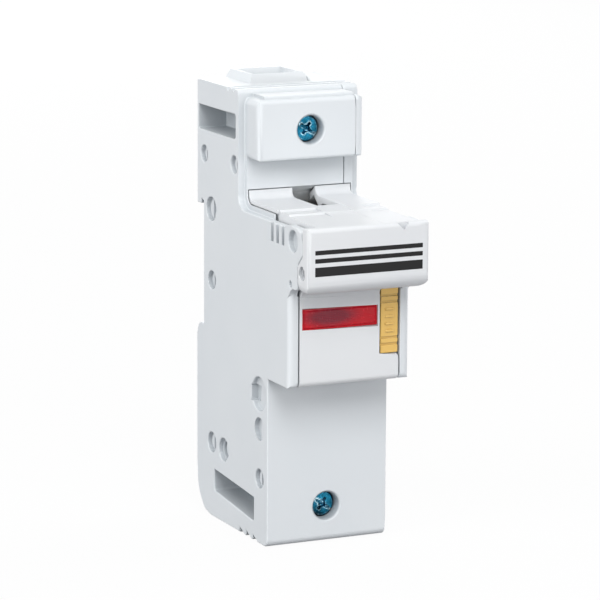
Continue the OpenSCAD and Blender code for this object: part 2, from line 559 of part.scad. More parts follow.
module carrier_solid() {
    difference() {
        union() {
            across(-carrier_x, carrier_x) polygon(CARRIER);
            intersection() {
                across(-half_w - over, half_w + over) polygon(rounded(HANDLE));
                deep(-handle_y - over, over) polygon(rounded([[-half_w, lip_z, 3], [half_w, lip_z, 3],
                    [half_w, handle_z + 0.1, 0.8], [-half_w, handle_z + 0.1, 0.8]]));
                upright(-over, 30) polygon(rounded([
                    [-half_w - 0.02, 2, 0], [-half_w - 0.02, -handle_y - 0.02, 1.4],
                    [half_w + 0.02, -handle_y - 0.02, 1.4], [half_w + 0.02, 2, 0]]));
            }
            // Edges of the shelf that lie over the housing's shoulders
            across(-skirt_x, skirt_x) polygon(concat(rounded([[-wall_y, swing(hood_r, -wall_y), 0],
                [-wall_y, shelf_z, 2.4], [-43.6, shelf_z, 0.5], [-43.6, shelf_z - 1, 0],
                [-26, shelf_z - 1, 0], [-24.3, shelf_z + 0.4, 0]]),
                [[-rim_y - 0.4, shelf_z + 1.8], [-rim_y - 0.4, swing(hood_r, -rim_y - 0.4)]]));
            // Smooth patch that runs down between the ridges
            across(slot_x[0] - 1.8, slot_x[1] + 4.6) polygon([[-43, shelf_z], [-43.9, shelf_z], [-55, shelf_z - 1],
                [-55, shelf_z - 2], [-43, shelf_z - 1.5]]);
            rod_x([-pivot_y, -pivot_z], pivot_r, -bay_x - 1.9, bay_x + 1.9);
        }
        across(-web_x, web_x) polygon(HOLLOW);
        // Viewing slot in the shelf
        box([slot_x[0], -41, shelf_z - 6], [slot_x[1], -10, shelf_z + 10]);
        // Seat and window of the lens
        box([lens_x[0], -cheek_y - over, -lens_z - lens_h / 2],
            [lens_x[1], -cheek_y + 1.1, lens_h / 2 - lens_z]);
        box([lens_x[0] + 0.9, -cheek_y, -lens_z - lens_h / 2 + 0.6],
            [lens_x[1] - 0.6, skin_y + over, lens_h / 2 - 0.6 - lens_z]);
        // Recess of the padlock slide, open towards the right cheek
        deep(-cheek_y - over, slide_seat + 0.05) polygon(concat([[slide_x[0] - 0.5, slide_z[1] + 0.2],
            [slide_x[0] - 0.5, slide_z[0] - 0.2]],
            arc([carrier_x - 1.2, slide_z[0] - 1.4], 1.2, 90, 0, 5),
            [[carrier_x + over, slide_z[0] - 1.4], [carrier_x + over, slide_z[1] + 0.2]]));
        box([stem_x[0] - 0.2, slide_seat - over, stem_z[0] - 0.2],
            [stem_x[1] + 0.2, skin_y + over, stem_z[1] + 0.2]);
        // Dent at the middle of the pull edge
        deep(-handle_y - 0.1, 0.9 - handle_y)
            polygon([[8.2, handle_z + 0.1], [12.2, handle_z + 0.1], [10.2, handle_z - 2]]);
        for (s = [-1, 1]) scale_x(s) rod_x([3.6 - handle_y, 7.6], 1.85, half_w - 1, half_w + over);
    }
    // Boss that guides the slide's stem
    difference() {
        box([slide_x[0] - 1.5, skin_y - 0.01, slide_z[0] - 1], [web_x + 0.1, boss_y, slide_z[1] + 1]);
        box([stem_x[0] - 0.2, skin_y - over, stem_z[0] - 0.2],
            [stem_x[1] + 0.2, boss_y + over, stem_z[1] + 0.2]);
    }
    // Spine in front of the fuse link, with an opening for each lamp lead
    difference() {
        box([-web_x - 0.1, spine_y, cheek_bottom + 0.2], [web_x + 0.1, spine_y + 2.2, shelf_z - skin + 0.1]);
        box([-4.2, spine_y - over, 3.5], [-0.8, spine_y + 3, 12.5]);
        box([-4.2, spine_y - over, cheek_bottom - over], [-0.8, spine_y + 3, -20]);
    }
    // Fingers that clip round the middle of the fuse link
    difference() {
        union() {
            translate([0, -fuse_y, fuse_z - 7]) cylinder(r = tube_r + 1.6, h = 12);
            box([-9, spine_y + 1, fuse_z - 7], [9, -fuse_y - 7, fuse_z + 5]);
        }
        translate([0, -fuse_y, fuse_z - 8]) cylinder(r = tube_r + 0.1, h = 14);
        box([-15, -fuse_y + 6, -40], [15, 0, 20]);
    }
    // Ribs that the lamp board rests against
    for (x = [-9, 2.4]) box([x, board_y + board_t, -11], [x + 1.2, spine_y + 0.1, -3]);
}

// Carrier dowels: depth, height and radius
PINS = [[3.6 - handle_y, 7.6, 1.3], [-47, -21.5, 1.6], [-47, 15.5, 1.3]];

// The right half lies behind the front skin, which is all one with the left half
module right_half(g) {
    across(slot_x[1] + g, half_w + over) polygon([[30, -60], [skin_y + g, -60], [skin_y + g, lip_z + 3.4 + g],
        [skin - handle_y + g, lip_z + 3.4 + g], [skin - handle_y + g, handle_z - skin - 0.6 + g],
        [1.2 - handle_y + g, handle_z - skin - 0.6 + g], [1.2 - handle_y + g, 40], [30, 40]]);
}

// Left half of the carrier with the whole front skin, which holds the lens
module carrier_left() color([0.88, 0.89, 0.90]) {
    difference() {
        union() {
            difference() {
                carrier_solid();
                right_half(0);
            }
            // Sockets for the dowels
            for (p = PINS) rod_x([p[0], p[1]], p[2] + 1.3, -web_x - 0.1, slot_x[1]);
        }
        for (p = [PINS[1], PINS[2]]) rod_x([p[0], p[1]], p[2] + 0.1, -web_x + 2, slot_x[1] + over);
        rod_x([PINS[0][0], PINS[0][1]], PINS[0][2] + 0.1, -half_w, slot_x[1] + over);
    }
}

// Right half of the carrier, with the dowels and the slide's guide
module carrier_right() color([0.87, 0.88, 0.89]) {
    intersection() {
        carrier_solid();
        right_half(seam);
    }
    for (i = [0:2]) {
        rod_x([PINS[i][0], PINS[i][1]], PINS[i][2], i == 0 ? 1.2 - half_w : 2.2 - web_x, web_x + 0.1);
        rod_x([PINS[i][0], PINS[i][1]], PINS[i][2] + (i == 0 ? 0.5 : 1.3), slot_x[1] + seam, web_x + 0.1);
    }
}

// Red window of the indicator, stepped so that it can't fall through
module indicator_lens() color([0.78, 0.12, 0.16]) {
    c = 0.08;
    box([lens_x[0] + c, 0.15 - cheek_y, -lens_z - lens_h / 2 + c],
        [lens_x[1] - c, 1.1 - c - cheek_y, lens_h / 2 - c - lens_z]);
    box([lens_x[0] + 0.9 + c, 1 - cheek_y, -lens_z - lens_h / 2 + 0.6 + c],
        [lens_x[1] - 0.6 - c, skin_y + 0.6, lens_h / 2 - 0.6 - c - lens_z]);
}

// Padlock slide: a yellow head in the plate, a flat stem with the padlock hole and a stop foot
module lock_slide() color([0.85, 0.65, 0.22]) {
    difference() {
        union() {
            box([slide_x[0], slide_face, slide_z[0]], [slide_x[1], slide_seat - 0.1, slide_z[1]]);
            box([stem_x[0], slide_seat - 0.2, stem_z[0]], [stem_x[1], foot_y, stem_z[1]]);
            box([stem_x[0] - 1.2, stem_end, stem_z[0]], [stem_x[1], foot_y, stem_z[1]]);
        }
        rod_x([hole_y, (stem_z[0] + stem_z[1]) / 2], padlock_d / 2, slide_x[0] - over, half_w);
        // Grip grooves across the face
        for (z = [-15.2, -13.4, -3.6, -1.8]) box([slide_x[0] - over, slide_face - over, z - 0.35],
            [slide_x[1] + over, slide_face + 0.35, z + 0.35]);
    }
}

// Fuse link
module fuse_tube() color([0.93, 0.92, 0.88])
    translate([0, -fuse_y, fuse_foot + 0.7]) cylinder(r = tube_r, h = fuse_l - 1.4);
module fuse_cap(foot, up) {
    translate([0, -fuse_y, foot]) difference() {
        rotate_extrude() polygon(up ?
            [[0, cap_l - 1.2], [0, cap_l], [fuse_r - 1.2, cap_l], [fuse_r, cap_l - 1.2], [fuse_r, 0], [0, 0]] :
            [[0, 0], [fuse_r - 1.2, 0], [fuse_r, 1.2], [fuse_r, cap_l], [0, cap_l]]);
        translate([0, 0, up ? -over : 0.65]) cylinder(r = tube_r + 0.02, h = cap_l - 0.65 + over);
    }
}
module upper_fuse_cap() color([0.80, 0.80, 0.78]) fuse_cap(fuse_top - cap_l, true);
module lower_fuse_cap() color([0.80, 0.80, 0.78]) fuse_cap(fuse_foot, false);

// Blown-fuse indicator behind the lens
board_t = 1.2;
board_y = -50.4;
lamp_r = 1.9;
module lamp_board() color([0.76, 0.62, 0.36]) {
    box([-web_x + 0.1, board_y, -12.4], [slide_x[0] - 1.6, board_y + board_t, -2]);
}
module neon_lamp() color([0.92, 0.75, 0.66]) {
    rod_x([board_y - lamp_r - 0.05, -lens_z], lamp_r, -9, -2.6);
    translate([-2.6, board_y - lamp_r - 0.05, -lens_z]) rotate([0, 90, 0])
        cylinder(r1 = lamp_r, r2 = 0.6, h = 1.6);
    for (z = [-0.9, 0.9]) rod_x([board_y - lamp_r - 0.05, z - lens_z], 0.25, -11.4, -8.9);
    for (z = [-0.9, 0.9]) rod_y([-11.2, z - lens_z], 0.25, board_y - lamp_r - 0.3, board_y);
}
module series_resistor() color([0.78, 0.68, 0.52]) {
    rod_x([board_y - 1.35, -lens_z], 1.3, 1.2, 5.6);
    for (x = [0.2, 6.6]) rod_y([x, -lens_z], 0.25, board_y - 1.6, board_y);
    rod_x([board_y - 1.35, -lens_z], 0.25, 0, 6.8);
}

// Spring strips that join the board to the two caps
lead_t = 0.4;
UPPER_LEAD = [[board_y + board_t + lead_t / 2, -5], [board_y + board_t + lead_t / 2, -1], [spine_y - 1.5, 6.6],
    [-fuse_y - fuse_r - lead_t / 2 - 0.02, 7.6], [-fuse_y - fuse_r - lead_t / 2 - 0.02, 10.6]];
LOWER_LEAD = [[board_y + board_t + lead_t / 2, -9], [board_y + board_t + lead_t / 2, -13], [spine_y - 1.2, -17.5],
    [spine_y - 1.2, -20.3], [-fuse_y - fuse_r - lead_t / 2 - 0.02, -24.5],
    [-fuse_y - fuse_r - lead_t / 2 - 0.02, -31]];
module upper_lamp_lead() color([0.83, 0.70, 0.45]) across(-3.6, -1.4) polygon(ribbon(UPPER_LEAD, lead_t));
module lower_lamp_lead() color([0.83, 0.70, 0.45]) across(-3.6, -1.4) polygon(ribbon(LOWER_LEAD, lead_t));

left_shell();
right_cover();
upper_contact();
lower_contact();
upper_jaw_spring();
lower_jaw_spring();
upper_cage();
lower_cage();
upper_screw();
lower_screw();
rail_clip();
clip_spring();
carrier_left();
carrier_right();
indicator_lens();
lock_slide();
fuse_tube();
upper_fuse_cap();
lower_fuse_cap();
lamp_board();
neon_lamp();
series_resistor();
upper_lamp_lead();
lower_lamp_lead();
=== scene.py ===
"""Dress of a two-module disconnector for one cylindrical fuse link.

Sizes are in millimetres until they reach Blender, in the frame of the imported
model: X across the width, Y from the front (negative) to the rear, Z upwards,
with the origin where the rail's lips bear on the housing.
"""

import logging
import math
from contextlib import contextmanager
from dataclasses import dataclass, field
from enum import Enum
from typing import Callable, ClassVar, Iterator

import bmesh
import bpy
from mathutils import Matrix, Vector
from mathutils.geometry import area_tri, intersect_line_line_2d


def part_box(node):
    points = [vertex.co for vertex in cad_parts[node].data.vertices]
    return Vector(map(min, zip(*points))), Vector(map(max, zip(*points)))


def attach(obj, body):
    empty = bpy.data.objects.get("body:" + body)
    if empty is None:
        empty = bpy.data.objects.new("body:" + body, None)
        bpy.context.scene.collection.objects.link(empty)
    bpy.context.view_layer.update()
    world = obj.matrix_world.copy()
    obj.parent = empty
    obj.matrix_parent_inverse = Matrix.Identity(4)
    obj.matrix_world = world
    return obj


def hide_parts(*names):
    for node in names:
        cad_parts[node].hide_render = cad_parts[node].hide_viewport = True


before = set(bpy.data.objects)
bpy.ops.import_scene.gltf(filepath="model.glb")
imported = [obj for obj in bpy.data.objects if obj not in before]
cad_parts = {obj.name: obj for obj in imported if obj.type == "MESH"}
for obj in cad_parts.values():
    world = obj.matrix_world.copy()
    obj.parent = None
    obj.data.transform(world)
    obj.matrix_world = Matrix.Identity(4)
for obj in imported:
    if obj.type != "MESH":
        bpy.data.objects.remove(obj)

LOG = logging.getLogger("disconnector")
MM = 0.001
MERGE = 0.01  # mm within which corners are one
FLAT = 0.4  # degrees within which faces are one
ROUNDED_SHADE = 50.0  # degrees up to which a rounded piece is shaded smooth
ALIKE = 0.9  # cosine from which two directions are one
ALONG = (0.02, 0.25, 0.5, 0.75, 0.98)  # shares of an edge at which room is measured
NIL = 1e-9  # metres that count as none
ABOVE = 1e-7  # metres from which a side lies across a face
ACROSS = Vector((1, 0, 0))
INTO = Vector((0, 1, 0))
UP = Vector((0, 0, 1))
Colour = tuple[float, float, float]
Point = tuple[float, float, float]
Pair = tuple[float, float]
Outline = list[Pair]
Edge = bmesh.types.BMEdge
Face = bmesh.types.BMFace
Node = bpy.types.Node
Piece = bpy.types.Object
Socket = bpy.types.NodeSocket
Sockets = dict[str, Socket]
Tree = bpy.types.NodeTree


class Body(Enum):
    """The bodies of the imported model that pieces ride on."""

    HOUSING = "housing"
    CARRIER = "carrier"
    LOCK = "lock"
    CLIP = "clip"
    UPPER_SCREW = "upper_clamp_screw"
    UPPER_CAGE = "upper_clamp_cage"
    LOWER_SCREW = "lower_clamp_screw"
    LOWER_CAGE = "lower_clamp_cage"


class Pick(Enum):
    """What is picked in edit mode."""

    VERTEX = (True, False, False)
    EDGE = (False, True, False)
    FACE = (False, False, True)


def metres(*values: float) -> Vector:
    """Turn a place or size in millimetres into a vector in metres."""
    return Vector(values) * MM


def linear(red: int, green: int, blue: int) -> Colour:
    """Turn a colour as seen on a screen into shader values.

    Args:
        red: Its red, from 0 to 255.
        green: Its green.
        blue: Its blue.

    Returns:
        The shader's red, green and blue, from 0 to 1.
    """

    def curve(value: float) -> float:
        """Undo the screen's curve for one channel."""
        value /= 255
        return value / 12.92 if value <= 0.04045 else ((value + 0.055) / 1.055) ** 2.4

    return curve(red), curve(green), curve(blue)


# The modelling bench


def put_down() -> None:
    """Leave edit mode and deselect everything."""
    if bpy.context.object and bpy.context.object.mode != "OBJECT":
        bpy.ops.object.mode_set(mode="OBJECT")
    bpy.ops.object.select_all(action="DESELECT")


def pick_up(piece: Piece) -> None:
    """Make a piece the only one selected, and active.

    Args:
        piece: The object.
    """
    put_down()
    piece.select_set(True)
    bpy.context.view_layer.objects.active = piece


@contextmanager
def editing(piece: Piece, pick: Pick = Pick.FACE) -> Iterator[None]:
    """Keep a piece in edit mode for a block of moves.

    Args:
        piece: The mesh object to shape.
        pick: Whether vertices, edges or faces are picked.
    """
    pick_up(piece)
    bpy.ops.object.mode_set(mode="EDIT")
    bpy.context.tool_settings.mesh_select_mode = pick.value
    yield
    bpy.ops.object.mode_set(mode="OBJECT")


def pick_along(piece: Piece, way: Vector, edges: bool = False) -> None:
    """Select the faces that look one way, or the edges that run that way.

    Args:
        piece: The mesh object in edit mode.
        way: The direction.
        edges: Whether edges are picked.
    """
    bpy.ops.mesh.select_all(action="DESELECT")
    mesh = bmesh.from_edit_mesh(piece.data)
    if edges:
        for edge in mesh.edges:
            start, end = (vertex.co for vertex in edge.verts)
            edge.select_set(abs((end - start).normalized().dot(way)) > ALIKE)
    else:
        for face in mesh.faces:
            face.select_set(face.normal.dot(way) > ALIKE)
    bmesh.update_edit_mesh(piece.data)


def name_piece(name: str) -> Piece:
    """Name the newly added object and put its place in its mesh.

    Args:
        name: The piece's name.

    Returns:
        The object, at the origin, unturned and unscaled.
    """
    piece = bpy.context.object
    piece.name = name
    piece.data.name = name
    bpy.ops.object.transform_apply(location=True, rotation=True, scale=True)
    return piece


def start_block(name: str, low: Point, high: Point) -> Piece:
    """Start a piece from a block between two corners.

    Args:
        name: The piece's name.
        low: The lowest corner, in millimetres.
        high: The highest corner, in millimetres.

    Returns:
        The block, ready to be shaped.
    """
    put_down()
    small, large = metres(*low), metres(*high)
    bpy.ops.mesh.primitive_cube_add(size=1, location=(small + large) / 2, scale=large - small)
    return name_piece(name)


def turned(name: str, start: Point, axis: Vector, profile: Outline, sides: int) -> Piece:
    """Turn a piece: a disc drawn out along an axis, and widened or narrowed at each step.

    Args:
        name: The piece's name.
        start: Where the distances of the profile are counted from, in millimetres.
        axis: The direction of the axis.
        profile: Pairs of distance along the axis and radius, in millimetres.
        sides: How many sides each round has.

    Returns:
        The turned piece.
    """
    put_down()
    origin = metres(*start)
    along, radius = profile[0]
    bpy.ops.mesh.primitive_circle_add(
        vertices=sides, radius=radius * MM, fill_type="NGON", location=origin + axis * along * MM,
        rotation=axis.to_track_quat("Z", "Y").to_euler())
    piece = name_piece(name)
    with editing(piece):
        bpy.ops.mesh.select_all(action="SELECT")
        for distance, width in profile[1:]:
            bpy.ops.mesh.extrude_region_move(
                TRANSFORM_OT_translate={"value": axis * (distance - along) * MM})
            scale = width / radius
            bpy.ops.transform.resize(value=(scale, scale, scale),
                                     center_override=origin + axis * distance * MM)
            along, radius = distance, width
        bpy.ops.mesh.select_all(action="SELECT")
        bpy.ops.mesh.normals_make_consistent(inside=False)
    return piece


def apply(piece: Piece, kind: str, **settings: object) -> None:
    """Add a modifier to a piece and apply it.

    Args:
        piece: The mesh object.
        kind: The modifier's type.
        settings: The modifier's values.
    """
    pick_up(piece)
    modifier = piece.modifiers.new(kind.title(), kind)
    for key, value in settings.items():
        setattr(modifier, key, value)
    bpy.ops.object.modifier_apply(modifier=modifier.name)


def cut(piece: Piece, cutter: Piece) -> None:
    """Cut another piece out of a piece, and clear it away."""
    apply(piece, "BOOLEAN", operation="DIFFERENCE", solver="EXACT", object=cutter)
    bpy.data.objects.remove(cutter)


def join(piece: Piece, other: Piece) -> None:
    """Join another piece to a piece.

    Args:
        piece: The mesh object that takes the other in.
        other: The mesh object to take in.
    """
    pick_up(piece)
    other.select_set(True)
    bpy.ops.object.join()


def smooth(piece: Piece, angle: float) -> None:
    """Shade a piece so that its curves are smooth and its flats stay flat.

    Args:
        piece: The mesh object.
        angle: Edges sharper than this many degrees stay sharp.
    """
    pick_up(piece)
    bpy.ops.object.shade_smooth_by_angle(angle=math.radians(angle))
    apply(piece, "WEIGHTED_NORMAL", keep_sharp=True, weight=60)


def ease(piece: Piece, width: float, angle: float = 30) -> None:
    """Round all of a simple piece's sharp edges, and shade it.

    Args:
        piece: The mesh object.
        width: Width of the rounding, in millimetres, or 0 for none.
        angle: Edges sharper than this many degrees are rounded, or kept sharp.
    """
    if width:
        apply(piece, "BEVEL", width=width * MM, segments=2, limit_method="ANGLE",
              angle_limit=math.radians(angle), use_clamp_overlap=False)
    smooth(piece, ROUNDED_SHADE if width else angle)


def room_beside(edge: Edge, face: Face) -> float:
    """Measure how far a face reaches from one of its edges.

    Args:
        edge: The edge.
        face: A face that it bounds.

    Returns:
        The least distance straight across the face, in metres.
    """
    loop = next(loop for loop in face.loops if loop.edge == edge)
    start, end = loop.vert.co, loop.link_loop_next.vert.co
    along = (end - start).normalized()
    into = face.normal.cross(along)
    least = math.inf
    for share in ALONG:
        point = start.lerp(end, share)
        for other in face.edges:
            if other == edge:
                continue
            near, far = (vertex.co - point for vertex in other.verts)
            s0, s1 = near.dot(along), far.dot(along)
            if s0 * s1 > 0 or abs(s1 - s0) < NIL:
                continue
            height = near.dot(into) - (far.dot(into) - near.dot(into)) * s0 / (s1 - s0)
            if height > ABOVE:
                least = min(least, height)
    return least


def crossings(face: Face) -> list[Vector]:
    """Find where the outline of a flat face crosses itself.

    Args:
        face: The face.

    Returns:
        The corners beside each crossing.
    """
    across = max(range(3), key=lambda axis: abs(face.normal[axis]))
    spots = [vertex.co for vertex in face.verts]
    flat = [Vector([value for axis, value in enumerate(spot) if axis != across]) for spot in spots]
    sides = list(zip(flat, flat[1:] + flat[:1]))
    found = []
    for number, (start, end) in enumerate(sides):
        last = len(sides) - (number == 0)
        for other in range(number + 2, last):
            if intersect_line_line_2d(start, end, *sides[other]):
                found += [spots[number + 1], spots[other]]
    return found


@dataclass
class MouldedEdges:
    """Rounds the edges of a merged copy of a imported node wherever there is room.

    Attributes:
        piece: The mesh object.
        width: Width of the rounding, in millimetres.
        steps: Faces across the rounding.
    """

    piece: Piece
    width: float
    steps: int = 2

    SHARP: ClassVar[float] = 30.0  # degrees from which an edge is rounded
    FOLDED: ClassVar[float] = 118.0  # degrees from which the rounding has folded over
    TORN: ClassVar[float] = 0.1  # mm2 by which a face's triangles may miss its area
    ROOM: ClassVar[float] = 2.3  # widths that a face needs beside its rounded edge
    NEAR: ClassVar[float] = 2.6  # widths within which a fault spares an edge
    ROUNDS: ClassVar[int] = 7

    def mark(self) -> None:
        """Mark each sharp edge that has room for its rounding on both sides."""
        mesh = bmesh.new()
        mesh.from_mesh(self.piece.data)
        layer = mesh.edges.layers.float.new("bevel_weight_edge")
        for edge in mesh.edges:
            if len(edge.link_faces) == 2 and edge.calc_face_angle() > math.radians(self.SHARP):
                room = min(room_beside(edge, face) for face in edge.link_faces)
                edge[layer] = float(room > self.ROOM * self.width * MM)
        mesh.to_mesh(self.piece.data)
        mesh.free()

    def folds(self) -> list[Vector]:
        """Find where the rounding would fold over or cross itself.

        Returns:
            The middle of each folded edge, and the corners beside each crossing.
        """
        shown = self.piece.evaluated_get(bpy.context.evaluated_depsgraph_get())
        mesh = bmesh.new()
        mesh.from_mesh(shown.to_mesh())
        found = [(edge.verts[0].co + edge.verts[1].co) / 2 for edge in mesh.edges
                 if len(edge.link_faces) == 2 and edge.calc_face_angle() > math.radians(self.FOLDED)]
        covered: dict[Face, float] = {}
        for corners in mesh.calc_loop_triangles():
            face = corners[0].face
            covered[face] = covered.get(face, 0.0) + area_tri(*(corner.vert.co for corner in corners))
        for face, area in covered.items():
            if len(face.verts) > 4 and abs(area - face.calc_area()) > self.TORN * MM ** 2:
                found += [spot.copy() for spot in crossings(face)]
        mesh.free()
        shown.to_mesh_clear()
        return found

    def spare(self, places: list[Vector]) -> None:
        """Leave the edges at some places sharp.

        Args:
            places: Where the rounding went wrong.
        """
        mesh = bmesh.new()
        mesh.from_mesh(self.piece.data)
        layer = mesh.edges.layers.float["bevel_weight_edge"]
        for edge in mesh.edges:
            if edge[layer] and any(
                    (vertex.co - place).length < self.NEAR * self.width * MM
                    for vertex in edge.verts for place in places):
                edge[layer] = 0.0
        mesh.to_mesh(self.piece.data)
        mesh.free()

    def round(self) -> None:
        """Round the marked edges, and shade the piece."""
        self.mark()
        bevel = self.piece.modifiers.new("Rounding", "BEVEL")
        bevel.width = self.width * MM
        bevel.segments = self.steps
        bevel.limit_method = "WEIGHT"
        bevel.use_clamp_overlap = False
        first = self.folds()
        left = first
        for _ in range(self.ROUNDS):
            if not left:
                break
            self.spare(left)
            left = self.folds()
        LOG.info("%s: %d folds, %d left", self.piece.name, len(first), len(left))
        pick_up(self.piece)
        bpy.ops.object.modifier_apply(modifier=bevel.name)
        smooth(self.piece, ROUNDED_SHADE)


def softened(node: str, width: float, steps: int = 2) -> Piece:
    """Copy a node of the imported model, merged, with its edges rounded.

    Args:
        node: The node's name.
        width: Width of the rounding, in millimetres.
        steps: Faces across the rounding.

    Returns:
        The new piece, which stands for the node.
    """
    piece = bpy.data.objects.new(f"{node}_body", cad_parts[node].data.copy())
    bpy.context.scene.collection.objects.link(piece)
    piece.data.materials.clear()
    with editing(piece, Pick.VERTEX):
        bpy.ops.mesh.customdata_custom_splitnormals_clear()
        bpy.ops.mesh.select_all(action="SELECT")
        bpy.ops.mesh.remove_doubles(threshold=MERGE * MM)
        bpy.ops.mesh.dissolve_degenerate(threshold=MERGE * MM)
        bpy.ops.mesh.dissolve_limited(angle_limit=math.radians(FLAT))
    MouldedEdges(piece, width, steps).round()
    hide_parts(node)
    return piece


# Finishes

NOISE = (0.35, 0.65)  # what a noise seldom leaves
STREAKS = (0.3, 0.7)  # the same for the noise of the drawing marks
BROKEN = (0.42, 0.62)  # the same, cut closer, where the painted edge highlight comes and goes
TURN = (0.995, 0.9)  # cosine of an edge's turn, from none to full
CORNER = (0.92, 0.55, 0.0, 0.31)  # openness to the piece itself, and how much painted shade it gets
HOLLOW = (0.2, 0.03, 0.0, 0.66)  # openness to all pieces, and how much painted shade it gets
SAMPLES = 6  # rays with which a node looks round


class Wiring:
    """Adds nodes to a tree and joins them."""

    def __init__(self, tree: Tree) -> None:
        """Take the tree to work on."""
        self.tree = tree

    def add(self, kind: str, *first: object, **values: object) -> Node:
        """Add a node.

        Args:
            kind: The node's type, without the word ShaderNode.
            first: What its first inputs get, in order.
            values: Its settings, and its inputs by name with _ for a space.

        Returns:
            The new node.
        """
        node = self.tree.nodes.new(kind if kind.startswith("NodeGroup") else f"ShaderNode{kind}")
        for key, value in values.items():
            if hasattr(node, key):
                setattr(node, key, value)
            else:
                self.feed_all(node, **{key: value})
        for number, value in enumerate(first):
            self.feed(node, number, value)
        return node

    def feed_all(self, node: Node, **values: object) -> None:
        """Feed several inputs, by name with _ for a space."""
        for key, value in values.items():
            self.feed(node, key.replace("_", " "), value)

    def feed(self, node: Node, socket: str | int, value: object) -> None:
        """Set an input, or join an output to it.

        Args:
            node: The node that takes the value.
            socket: The input's name or number.
            value: A plain value or another node's output.
        """
        target = node.inputs[socket]
        if isinstance(value, Socket):
            self.tree.links.new(value, target)
        elif isinstance(value, tuple) and len(value) == 3 and target.type == "RGBA":
            target.default_value = (*value, 1)
        else:
            target.default_value = value

    def math(self, operation: str, first: object, second: object = 0.0) -> Socket:
        """Work out a sum of two values.

        Args:
            operation: The sum's name.
            first: A value or an output.
            second: A value or an output.

        Returns:
            The result.
        """
        return self.add("Math", first, second, operation=operation).outputs[0]

    def blend(self, mask: Socket, first: object, second: object, most: float = 1.0) -> Socket:
        """Blend two colours.

        Args:
            mask: Where the second shows.
            first: A colour or an output.
            second: A colour or an output.
            most: How much of the second shows where the mask is full.

        Returns:
            The blended colour.
        """
        if most != 1:
            mask = self.math("MULTIPLY", mask, most)
        node = self.add("Mix", data_type="RGBA")
        self.feed(node, 0, mask)
        self.feed(node, 6, first)
        self.feed(node, 7, second)
        return node.outputs[2]

    def spread(self, value: Socket, low: float, high: float, to_low: float = 0.0,
               to_high: float = 1.0) -> Socket:
        """Stretch a value from one range to another, kept inside it.

        Args:
            value: The output to stretch.
            low: The value that becomes to_low.
            high: The value that becomes to_high.
            to_low: The new low end.
            to_high: The new high end.

        Returns:
            The stretched value.
        """
        return self.add("MapRange", value, low, high, to_low, to_high).outputs[0]

    def group(self, tree: Tree, *first: float, **values: float) -> Sockets:
        """Add a node group.

        Args:
            tree: The group.
            first: What its first inputs get, in order.
            values: Other inputs by name.

        Returns:
            Its outputs by name.
        """
        return self.add("Group", *first, node_tree=tree, **values).outputs

    def relief(self, height: Socket, depth: float, strength: float, **values: object) -> Socket:
        """Give the normals of a surface with relief.

        Args:
            height: How far each place stands out.
            depth: How far it stands out where the height is 1, in millimetres.
            strength: How much of it shows.
            values: Further inputs by name.

        Returns:
            The normals.
        """
        return self.add("Bump", Strength=strength, Distance=depth * MM, Height=height, **values).outputs[0]

    def place(self) -> Socket:
        """Give the place on the piece."""
        return self.add("TexCoord").outputs["Object"]


def blank(owner: bpy.types.Material | bpy.types.World) -> Wiring:
    """Empty the node tree of a material or world.

    Args:
        owner: The material or world.

    Returns:
        The wiring of its empty tree.
    """
    owner.use_nodes = True
    owner.node_tree.nodes.clear()
    return Wiring(owner.node_tree)


Inside = Callable[[Wiring, Sockets], Sockets]


def shared(name: str, **usual: float) -> Callable[[Inside], Callable[[], Tree]]:
    """Turn a function that wires the inside of a node group into one that gives the group.

    Args:
        name: The group's name.
        usual: Its inputs by name with their usual values.

    Returns:
        What turns the function. The new one builds the group the first time.
    """

    def turn(fill: Inside) -> Callable[[], Tree]:
        """Turn one function.

        Args:
            fill: Gets the inputs, wires the inside and returns the outputs.

        Returns:
            The function that gives the group.
        """

        def give() -> Tree:
            """Give the group, and build it the first time.

            Returns:
                The group.
            """
            if name in bpy.data.node_groups:
                return bpy.data.node_groups[name]
            tree = bpy.data.node_groups.new(name, "ShaderNodeTree")
            for key, value in usual.items():
                socket = tree.interface.new_socket(key, in_out="INPUT", socket_type="NodeSocketFloat")
                socket.default_value = value
            wires = Wiring(tree)
            results = fill(wires, wires.add("NodeGroupInput").outputs)
            for key in results:
                tree.interface.new_socket(key, in_out="OUTPUT", socket_type="NodeSocketFloat")
            wires.add("NodeGroupOutput", **results)
            return tree

        return give

    return turn


@shared("tool_grain", Fineness=2600.0, Drift=28.0)
def grain_group(wires: Wiring, given: Sockets) -> Sockets:
    """Wire the fine grain of a tool surface, with slow drifts of tone across it.

    Args:
        wires: The group's wiring.
        given: Its inputs by name.

    Returns:
        Its outputs by name.
    """
    where = wires.place()
    fine = wires.add("TexNoise", Vector=where, Detail=3.0, Roughness=0.6, Scale=given["Fineness"])
    coarse = wires.add("TexNoise", Vector=where, Detail=2.0, Roughness=0.5, Scale=given["Drift"])
    pits = wires.add("TexVoronoi", Vector=where, feature="F1", Scale=given["Fineness"])
    pitted = wires.math("MULTIPLY", pits.outputs["Distance"], 0.5)
    return {"Height": wires.math("ADD", fine.outputs["Fac"], pitted),
            "Tone": wires.spread(coarse.outputs["Fac"], *NOISE),
            "Fleck": wires.spread(fine.outputs["Fac"], *NOISE)}


